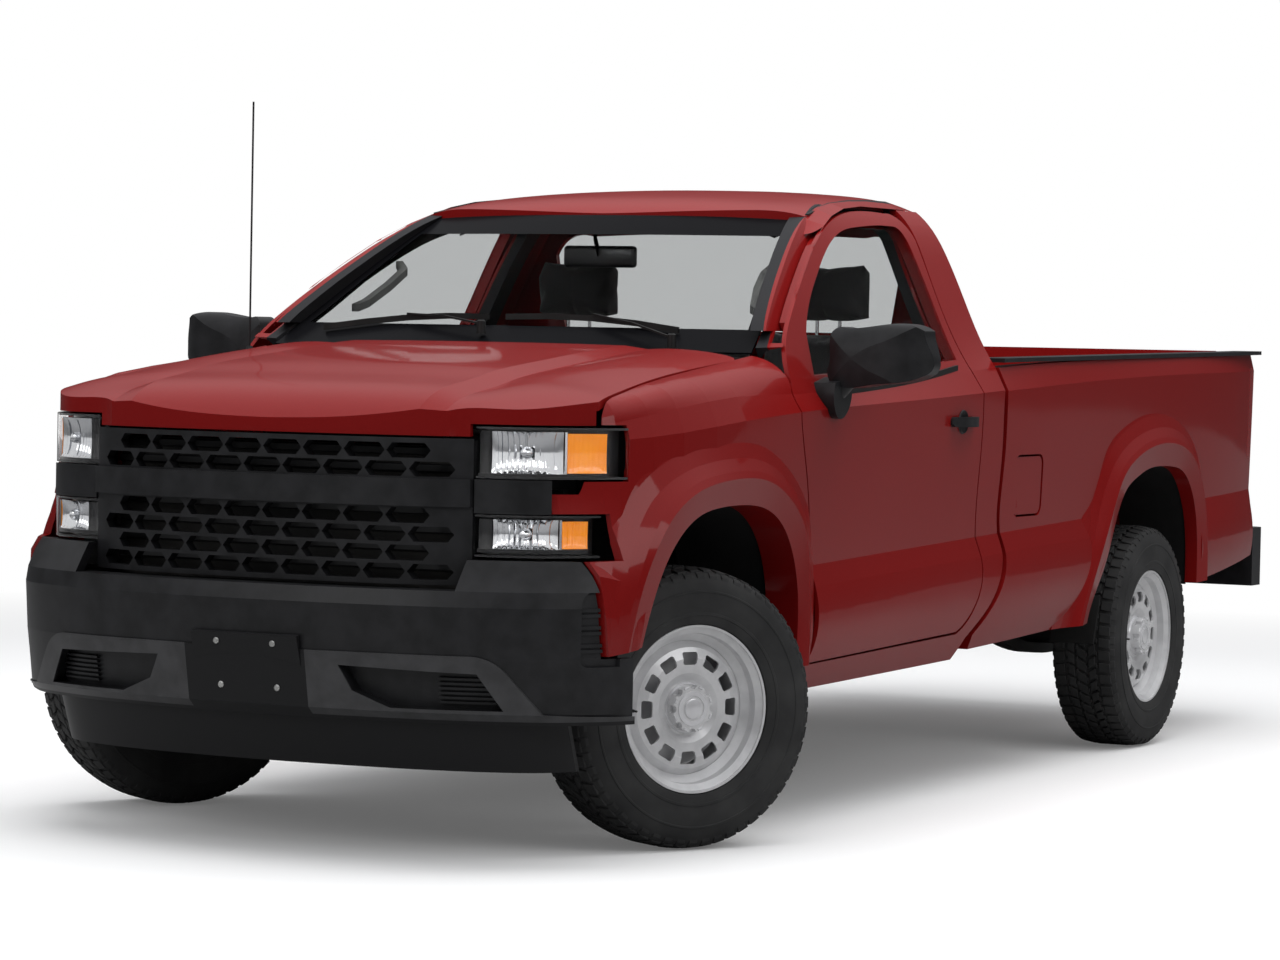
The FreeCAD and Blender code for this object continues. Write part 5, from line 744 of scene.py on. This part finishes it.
# Tailgate handle: a black moulded pull in a recessed surround, screwed on from within
# at the gate's top middle.
def recessed(piece, rim, depth):
    """The piece's rear face, set in by a rim and pushed forwards."""
    hold(piece, "FACE")
    bpy.ops.mesh.select_all(action="DESELECT")
    mesh = bmesh.from_edit_mesh(piece.data)
    for face in mesh.faces:
        if face.normal.x < -0.99:
            face.select_set(True)
    bmesh.update_edit_mesh(piece.data)
    bpy.ops.mesh.inset(thickness=rim, depth=0)
    bpy.ops.mesh.extrude_region_move(TRANSFORM_OT_translate={"value": (depth, 0, 0)})
    return let_go()


gate_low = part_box("tailgate")[0]
gate_handle_z, surround_half, surround_rise, pull_half = 1.300, 0.145, 0.042, 0.100
place = hit("tailgate", (gate_low[0] - behind, 0.0, gate_handle_z), (1, 0, 0))
surround = block((place.x - 0.002, -surround_half, gate_handle_z - surround_rise),
                 (place.x + 0.012, surround_half, gate_handle_z + surround_rise), 0.006)
surround = recessed(surround, 0.010, 0.008)
pull = block((place.x - 0.004, -pull_half, gate_handle_z - 0.012),
             (place.x + 0.004, pull_half, gate_handle_z + 0.022), 0.003)
fit(joined([surround, pull]), "tailgate_handle", black_plastic, "tailgate_body", "black_trim")


# Rear step bumper: three ribbed black tread pads snapped on its top, the blank plate's
# place with two lamps over it, and under the middle a square steel receiver for a tow
# ball, welded to a cross tube.
bumper_low, bumper_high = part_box("rear_bumper")
pad_spans = ((-0.90, -0.42), (-0.34, 0.34), (0.42, 0.90))
pad_back, pad_front, rib_pitch, rib_half, rib_inset = 0.030, 0.012, 0.04, 0.008, 0.006
pads = []
for y_from, y_to in pad_spans:
    top = hit("rear_bumper", (bumper_low[0] + 0.075, (y_from + y_to) / 2, 1.0), (0, 0, -1))
    pads.append(block((bumper_low[0] + pad_back, y_from, top.z - 0.003),
                      (bumper_high[0] - pad_front, y_to, top.z + 0.003), 0.002, 1))
    ribs = int((y_to - y_from) / rib_pitch)
    for rib in range(ribs):
        y = y_from + (y_to - y_from) * (rib + 0.5) / ribs
        pads.append(block((bumper_low[0] + pad_back + rib_inset, y - rib_half, top.z + 0.002),
                          (bumper_high[0] - pad_front - rib_inset, y + rib_half, top.z + 0.006), 0.0012, 1))
fit(joined(pads), "bumper_tread_pads", black_plastic, "chassis", "black_trim")
plate_x = bumper_low[0]
plate_half, plate_low, plate_top = 0.165, 0.560, 0.660
plate = block((plate_x + 0.0005, -plate_half, plate_low), (plate_x + 0.008, plate_half, plate_top), 0.003, 1)
lamps = [block((plate_x + 0.0005, y - 0.022, 0.664), (plate_x + 0.012, y + 0.022, 0.682), 0.003, 1)
         for y in (-0.09, 0.09)]
fit(joined([plate] + lamps), "rear_plate_place", satin_plastic, "chassis", "black_trim")
receiver_half, receiver_low, receiver_top, receiver_wall = 0.032, 0.43, 0.494, 0.005
beam_x, beam_z, beam_half, beam_top = plate_x + 0.20, 0.463, 0.58, 0.488
tube = block((plate_x + 0.06, -receiver_half, receiver_low),
             (plate_x + 0.26, receiver_half, receiver_top), 0.004)
tube = recessed(tube, receiver_wall, 0.12)
beam = turned([(beam_x, -beam_half, beam_z), (beam_x, -beam_half, beam_top), (beam_x, beam_half, beam_top),
               (beam_x, beam_half, beam_z)], 24, (beam_x, 0, beam_z), axle_line)
fit(joined([tube, beam]), "tow_receiver", chassis_black, "chassis", "black_paint")


# Splash guards: flat black rubber flaps that hang ahead of each rear wheel, behind the
# bed's lower edge.
flap_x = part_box("tyre_rear_left")[1][0] + 0.085
flap_inner, flap_outer, flap_low, flap_top, flap_lean = 0.800, 0.965, 0.395, 0.560, 0.35
for side, hand in sides:
    flap = block((flap_x - 0.004, side * flap_inner, flap_low), (flap_x + 0.004, side * flap_outer, flap_top),
                 0.0025, 1)
    for vertex in flap.data.vertices:
        vertex.co.x += (flap_top - vertex.co.z) * flap_lean
    fit(flap, "splash_guard_" + hand, liner_plastic, "chassis", "liner")


# Seat: a cloth bench of three cushions and three backs over foam, with two loose head
# rests on steel posts. Each cushion is filled by a cloth simulation from a slightly
# smaller block, and its sewn channels are pressed in afterwards.
fabric, nodes, links, shader = new_finish("dark_woven_cloth")
place = nodes.new("ShaderNodeTexCoord")
threads = []
for direction in ("X", "Y"):
    wave = nodes.new("ShaderNodeTexWave")
    wave.bands_direction = direction
    wave.inputs["Scale"].default_value = 260.0
    wave.inputs["Distortion"].default_value = 1.5
    links.new(place.outputs["Object"], wave.inputs["Vector"])
    threads.append(wave)
weave = worked("MULTIPLY", threads[0].outputs["Fac"], threads[1].outputs["Fac"])
fuzz = grain_node(nodes, links, 700.0, 3.0)
tone = colour_between(nodes, links, fuzz.outputs["Fac"], (0.014, 0.014, 0.015), (0.040, 0.040, 0.043))
links.new(tone.outputs["Color"], shader.inputs["Base Color"])
wear = value_between(nodes, links, grain_node(nodes, links, 12.0).outputs["Fac"], 0.8, 0.95)
links.new(wear.outputs["Result"], shader.inputs["Roughness"])
shader.inputs["Sheen Weight"].default_value = 0.25
bump_from(nodes, links, shader, weave, 0.35, 0.0008)


fill_pressure, fill_steps, seam_half = 4.0, 20, 0.012


def slab(points, y_from, y_to):
    """A side outline drawn out across the truck."""
    outline = outline_ring([(axle_x + x, y_from, z) for x, z in points], True)
    return drawn_out(outline, (0, y_to - y_from, 0))


def filled(piece, voxel, cap, seams, sink):
    """A block turned to a stuffed pad: remeshed, blown by cloth pressure, then sewn."""
    apply_modifier(piece, "REMESH", mode="VOXEL", voxel_size=voxel)
    start = [vertex.co.copy() for vertex in piece.data.vertices]
    cloth = piece.modifiers.new("fill", "CLOTH")
    cloth.settings.use_pressure = True
    cloth.settings.uniform_pressure_force = fill_pressure
    cloth.settings.effector_weights.gravity = 0
    for step in range(1, fill_steps + 1):
        bpy.context.scene.frame_set(step)
    pick(piece)
    bpy.ops.object.modifier_apply(modifier="fill")
    bpy.context.scene.frame_set(1)
    for vertex, before in zip(piece.data.vertices, start):
        move = vertex.co - before
        if move.length > cap:
            vertex.co = before + move * (cap / move.length)
    apply_modifier(piece, "SMOOTH", factor=0.5, iterations=6)
    for vertex in piece.data.vertices:
        for seam in seams:
            near = 1 - abs(vertex.co.y - seam) / seam_half
            if near > 0:
                vertex.co -= vertex.normal * sink * near * near
    return piece


seat_pad = [(-1.275, 0.660), (-1.268, 0.850), (-1.300, 0.885), (-1.640, 0.862), (-1.690, 0.800),
            (-1.700, 0.660)]
back_pad = [(-1.700, 0.880), (-1.735, 1.060), (-1.800, 1.425), (-1.835, 1.468), (-1.880, 1.430),
            (-1.800, 0.900)]
rest_pad = [(-1.803, 1.500), (-1.792, 1.620), (-1.832, 1.675), (-1.878, 1.650), (-1.888, 1.500)]
outer_span, middle_span, rest_span = (0.240, 0.675), (-0.178, 0.178), (0.325, 0.590)
voxel, pad_cap, rest_cap = 0.006, 0.022, 0.014
channel_in, channel_sink, rest_middle, rest_sink = 0.10, 0.006, 0.4575, 0.003
soft = []
for title, section in (("cushion", seat_pad), ("backrest", back_pad)):
    channels = (outer_span[0] + channel_in, outer_span[1] - channel_in)
    outer = filled(slab(section, *outer_span), voxel, pad_cap, channels, channel_sink)
    middle = filled(slab(section, *middle_span), voxel, pad_cap, (0.0,), channel_sink)
    soft += [(copied(outer, mirror_y), f"seat_{title}_right"), (outer, f"seat_{title}_left"),
             (middle, f"seat_{title}_middle")]
rest = filled(slab(rest_pad, *rest_span), voxel, rest_cap, (rest_middle,), rest_sink)
soft += [(copied(rest, mirror_y), "head_rest_right"), (rest, "head_rest_left")]
for piece, title in soft:
    fit(piece, title, fabric, "chassis", "seat_fabric")
post_steel = grained("bright_post_steel", (0.45, 0.45, 0.46), (0.60, 0.60, 0.61),
                     scale=80.0, strength=0.05, distance=0.0004, rough=(0.15, 0.25), metallic=1.0)
post_x, post_low, post_top, post_radius, post_offset = axle_x - 1.845, 1.40, 1.535, 0.006, 0.040
posts = []
for middle in (rest_middle, -rest_middle):
    for y in (middle - post_offset, middle + post_offset):
        posts.append(turned([(post_x, y, post_low), (post_x + post_radius, y, post_low),
                             (post_x + post_radius, y, post_top), (post_x, y, post_top)], 12,
                            (post_x, y, 0), (0, 0, 1)))
fit(joined(posts), "head_rest_posts", post_steel, "chassis", "wheel_steel", "seat")
base_half, base_low, base_top = 0.66, 0.585, 0.655
base = block((axle_x - 1.72, -base_half, base_low), (axle_x - 1.29, base_half, base_top), 0.010)
fit(base, "seat_frame", chassis_black, "chassis", "dark_interior")


# Cab plastics: moulded floor, dash with a hooded cluster, a centre stack with a dark
# screen and knobs, round air outlets, and a padded cover over the glove box.
dark_inside = grained("dark_cab_plastic", (0.014, 0.014, 0.016), (0.024, 0.024, 0.027),
                      scale=300.0, strength=0.2, distance=0.0005, rough=(0.55, 0.75))
dress(["cab_floor", "dashboard", "steering_wheel"], dark_inside)
dash_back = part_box("dashboard")[0][0]
screen_dark = grained("dark_screen_glass", (0.004, 0.004, 0.005), (0.008, 0.008, 0.010),
                      scale=20.0, strength=0.01, distance=0.0002, rough=(0.06, 0.1), coat=1.0)
stack_half, stack_low, stack_top = 0.155, 1.02, 1.245
screen_half, screen_low, screen_top = 0.105, 1.115, 1.225
knob_z, knob_places, knob_steps = 1.055, (-0.10, 0.0, 0.10), 20
knob_half = [(-0.020, 0.0), (-0.020, 0.022), (-0.036, 0.019), (-0.038, 0.015), (-0.038, 0.0)]
outlet_z, outlet_places, outlet_steps = 1.205, (-0.66, -0.20, 0.20, 0.66), 28
outlet_half = [(0.004, 0.048), (-0.008, 0.048), (-0.010, 0.042), (-0.002, 0.036), (0.004, 0.036)]
vane_half, vane_levels = 0.038, (1.182, 1.194, 1.206, 1.218, 1.230)
glove_left, glove_right, glove_low, glove_top = -0.27, -0.66, 0.985, 1.130
before_dash = dash_back - 0.4
face = hit("dashboard", (0.6 * dash_back - 0.3, 0.0, 1.20), (1, 0, 0))
parts = []
if face is not None:
    parts.append(block((face.x - 0.020, -stack_half, stack_low),
                       (face.x + 0.01, stack_half, stack_top), 0.010))
    for y in knob_places:
        parts.append(turned([(face.x + along, y, knob_z + out) for along, out in knob_half], knob_steps,
                            (0, y, knob_z), (1, 0, 0)))
    for y in outlet_places:
        spot = hit("dashboard", (before_dash, y, outlet_z), (1, 0, 0))
        if spot is not None:
            parts.append(turned([(spot.x + along, y, outlet_z + out) for along, out in outlet_half],
                                outlet_steps, (0, y, outlet_z), (1, 0, 0)))
            parts += [block((spot.x - 0.006, y - vane_half, z - 0.0015),
                            (spot.x + 0.002, y + vane_half, z + 0.0015), 0.0005, 1) for z in vane_levels]
    glove = hit("dashboard", (before_dash, -0.46, 1.05), (1, 0, 0))
    parts.append(block((glove.x - 0.012, glove_right, glove_low),
                       (glove.x + 0.01, glove_left, glove_top), 0.008))
    screen = block((face.x - 0.024, -screen_half, screen_low),
                   (face.x - 0.018, screen_half, screen_top), 0.003)
    fit(screen, "dash_screen", screen_dark, "chassis", "dark_interior")
driver_y, cluster_span, cluster_round = 0.400, (0.235, 0.565), 0.012
dash_top = hit("dashboard", (axle_x - 0.80, driver_y, 2.0), (0, 0, -1))
dash_z = dash_top.z if dash_top is not None else 1.32
cluster = slab([(-0.760, dash_z - 0.03), (-0.770, dash_z + 0.035), (-0.860, dash_z + 0.040),
                (-0.905, dash_z + 0.012), (-0.905, dash_z - 0.005), (-0.865, dash_z - 0.06)], *cluster_span)
hold(cluster, "EDGE")
bpy.ops.mesh.bevel(offset=cluster_round, segments=3, affect="EDGES")
parts.append(let_go())
fit(joined(parts), "dash_fittings", dark_inside, "chassis", "dark_interior")


# Stalks and pedals: two moulded stalks on the steering column, and the brake and
# throttle pads on their steel arms under the dash.
stalk_x, stalk_z = axle_x - 1.020 + 0.10, 1.115
arm_half_width, arm_half_height = 0.006, 0.005
pedal_places = ((0.41, 0.68), (0.27, 0.66))
pedal_back, pedal_front, pedal_half, pedal_height = axle_x - 0.60, axle_x - 0.585, 0.035, 0.075
stalks = []
for side in (1, -1):
    points = [(stalk_x, driver_y + side * 0.03, stalk_z),
              (stalk_x - 0.01, driver_y + side * 0.11, stalk_z + 0.005),
              (stalk_x - 0.015, driver_y + side * 0.165, stalk_z + 0.013)]
    stalks.append(strip(points, arm_half_width, arm_half_height, True))
for y, z in pedal_places:
    stalks.append(block((pedal_back, y - pedal_half, z),
                        (pedal_front, y + pedal_half, z + pedal_height), 0.004))
    points = [(axle_x - 0.588, y, z + 0.05), (axle_x - 0.555, y, z + 0.16), (axle_x - 0.560, y, z + 0.25)]
    stalks.append(strip(points, arm_half_width, arm_half_height, True))
fit(joined(stalks), "stalks_and_pedals", dark_inside, "chassis", "dark_interior")


# Headliner and inside mirror: a moulded board under the roof skin, two folded sun
# visors, and the rear-view mirror on a stalk from the windscreen's top.
liner_cloth = grained("grey_headliner", (0.060, 0.060, 0.060), (0.085, 0.085, 0.083),
                      scale=400.0, strength=0.3, distance=0.0005, rough=(0.85, 0.95))
board_x, board_half_x, board_half_y = axle_x - 1.52, 0.32, 0.56
board_gap, board_edge_drop, board_sheet, roof_inner_z = 0.022, 0.035, 0.005, 1.84
deselect()
bpy.ops.mesh.primitive_grid_add(x_subdivisions=18, y_subdivisions=14, size=2)
board = bpy.context.active_object
for vertex in board.data.vertices:
    u, v = vertex.co.x, vertex.co.y
    x = board_x + board_half_x * u
    y = board_half_y * v
    under = hit("roof", (x, y, 1.30), (0, 0, 1))
    roof_z = under.z if under is not None else roof_inner_z
    vertex.co = (x, y, roof_z - board_gap - board_edge_drop * abs(v) ** 6)
apply_modifier(board, "SOLIDIFY", thickness=board_sheet)
fit(board, "headliner", liner_cloth, "chassis", "dark_interior")
visor_inner, visor_outer, visor_low, visor_top = 0.13, 0.52, 1.768, 1.784
visors = [block((axle_x - 1.36, side * visor_inner, visor_low),
                (axle_x - 1.225, side * visor_outer, visor_top), 0.006) for side in (1, -1)]
fit(joined(visors), "sun_visors", liner_cloth, "chassis", "dark_interior")
mirror_x, mirror_z, mirror_half, mirror_rise = axle_x - 1.105, 1.675, 0.125, 0.034
head = block((mirror_x - 0.022, -mirror_half, mirror_z - mirror_rise),
             (mirror_x + 0.012, mirror_half, mirror_z + mirror_rise), 0.012, 3)
stalk = strip([(mirror_x + 0.008, 0.0, mirror_z + 0.01), (mirror_x + 0.035, 0.0, mirror_z + 0.06),
               (mirror_x + 0.030, 0.0, mirror_z + 0.082)], 0.010, 0.010, True)
fit(joined([head, stalk]), "inside_mirror", lamp_black, "chassis", "dark_interior")
glass_half, glass_rise = 0.115, 0.026
glass = block((mirror_x - 0.0245, -glass_half, mirror_z - glass_rise),
              (mirror_x - 0.021, glass_half, mirror_z + glass_rise), 0.001, 1)
fit(glass, "inside_mirror_glass", mirror_glass, "chassis", "glass")


# Grab handles: one moulded grey pull on each windscreen pillar, held at both ends, for
# stepping up into the cab.
pull_grey = grained("grey_grab_handle", (0.10, 0.10, 0.10), (0.14, 0.14, 0.135),
                    scale=260.0, strength=0.2, distance=0.0005, rough=(0.55, 0.7))
pull_route = [(-0.80, 0.705, 1.500), (-0.815, 0.675, 1.515), (-0.900, 0.645, 1.570), (-0.975, 0.632, 1.618),
              (-0.985, 0.655, 1.640)]
pull_half_width, pull_half_height = 0.013, 0.012
pulls = [strip([(axle_x + x, side * y, z) for x, y, z in pull_route], pull_half_width, pull_half_height)
         for side in (1, -1)]
fit(joined(pulls), "pillar_grab_handles", pull_grey, "chassis", "dark_interior")


# Studio: a plain floor that fades to the white backdrop, a sky that is bright overhead
# and dim at the sides, soft lights, and the camera at the photograph's place.
floor_half, fade_scale = 30.0, 0.11
deselect()
bpy.ops.mesh.primitive_plane_add(size=2 * floor_half, location=(0, 0, 0))
floor = bpy.context.active_object
floor.name = "studio_floor"
settle_place(floor)
floor_finish, nodes, links, shader = new_finish("pale_floor")
nodes.remove(shader)
place = nodes.new("ShaderNodeTexCoord")
ring = nodes.new("ShaderNodeTexGradient")
ring.gradient_type = "SPHERICAL"
mapping = nodes.new("ShaderNodeMapping")
mapping.inputs["Scale"].default_value = (fade_scale, fade_scale, fade_scale)
seen = nodes.new("ShaderNodeLightPath")
matt = nodes.new("ShaderNodeBsdfDiffuse")
matt.inputs["Color"].default_value = (0.40, 0.40, 0.40, 1)
pale = nodes.new("ShaderNodeBsdfDiffuse")
pale.inputs["Color"].default_value = (0.96, 0.96, 0.96, 1)
paler = nodes.new("ShaderNodeMixShader")
links.new(seen.outputs["Is Camera Ray"], paler.inputs["Fac"])
links.new(matt.outputs["BSDF"], paler.inputs[1])
links.new(pale.outputs["BSDF"], paler.inputs[2])
white = nodes.new("ShaderNodeEmission")
white.inputs["Color"].default_value = (1, 1, 1, 1)
white.inputs["Strength"].default_value = 1.0
mix = nodes.new("ShaderNodeMixShader")
fade = nodes.new("ShaderNodeMapRange")
fade.inputs["From Min"].default_value = 0.0
fade.inputs["From Max"].default_value = 0.35
fade.inputs["To Min"].default_value = 1.0
fade.inputs["To Max"].default_value = 0.12
links.new(place.outputs["Object"], mapping.inputs["Vector"])
links.new(mapping.outputs["Vector"], ring.inputs["Vector"])
links.new(ring.outputs["Fac"], fade.inputs["Value"])
links.new(worked("MULTIPLY", fade.outputs["Result"], seen.outputs["Is Camera Ray"]), mix.inputs["Fac"])
links.new(paler.outputs["Shader"], mix.inputs[1])
links.new(white.outputs["Emission"], mix.inputs[2])
links.new(mix.outputs["Shader"], nodes["Material Output"].inputs["Surface"])
floor.data.materials.append(floor_finish)

world = bpy.data.worlds.new("studio_air")
bpy.context.scene.world = world
world.use_nodes = True
nodes, links = world.node_tree.nodes, world.node_tree.links
air = nodes["Background"]
direction = nodes.new("ShaderNodeTexCoord")
height = nodes.new("ShaderNodeSeparateXYZ")
links.new(direction.outputs["Generated"], height.inputs["Vector"])
sky = nodes.new("ShaderNodeMapRange")
sky.interpolation_type = "SMOOTHSTEP"
sky.inputs["From Min"].default_value = 0.10
sky.inputs["From Max"].default_value = 0.75
sky.inputs["To Min"].default_value = 0.05
sky.inputs["To Max"].default_value = 0.80
links.new(height.outputs["Z"], sky.inputs["Value"])
air.inputs["Color"].default_value = (0.97, 0.98, 1.0, 1)
links.new(sky.outputs["Result"], air.inputs["Strength"])
white_air = nodes.new("ShaderNodeBackground")
white_air.inputs["Color"].default_value = (1, 1, 1, 1)
white_air.inputs["Strength"].default_value = 1.0
seen = nodes.new("ShaderNodeLightPath")
mix = nodes.new("ShaderNodeMixShader")
plain_seen = worked("MAXIMUM", seen.outputs["Is Camera Ray"], seen.outputs["Is Transmission Ray"])
links.new(plain_seen, mix.inputs["Fac"])
links.new(air.outputs["Background"], mix.inputs[1])
links.new(white_air.outputs["Background"], mix.inputs[2])
links.new(mix.outputs["Shader"], nodes["World Output"].inputs["Surface"])


def soft_light(name, place, aim, size, power):
    lamp = bpy.data.lights.new(name, "AREA")
    lamp.shape = "RECTANGLE"
    lamp.size, lamp.size_y = size
    lamp.energy = power
    holder = bpy.data.objects.new(name, lamp)
    bpy.context.scene.collection.objects.link(holder)
    holder.location = place
    holder.rotation_euler = (Vector(aim) - Vector(place)).to_track_quat("-Z", "Y").to_euler()
    return holder


overhead = soft_light("overhead", (0.5, 0.5, 6.0), (0.0, 0.0, 0.0), (9.0, 5.0), 400.0)
overhead.visible_glossy = False
soft_light("left_side", (3.0, 8.0, 4.2), (0.0, 0.0, 0.8), (6.0, 2.0), 85.0)
soft_light("front", (9.0, -1.5, 3.6), (2.0, 0.0, 0.8), (4.0, 2.0), 70.0)

picture_width, focal_pixels, photo_width_pixels = 36.0, 4055.5, 1280
camera_data = bpy.data.cameras.new("photo_camera")
camera_data.sensor_width = picture_width
camera_data.lens = focal_pixels * picture_width / photo_width_pixels
camera = bpy.data.objects.new("photo_camera", camera_data)
bpy.context.scene.collection.objects.link(camera)
right = Vector((-0.45164, 0.89198, 0.01956))
up = Vector((-0.02192, -0.03301, 0.99921))
back = Vector((0.89193, 0.45086, 0.03446))
turn = Matrix((right, up, back)).transposed()
camera.matrix_world = Matrix.Translation((12.1601, 5.8718, 1.4159)) @ turn.to_4x4()
bpy.context.scene.camera = camera
bpy.context.scene.view_settings.view_transform = "Standard"
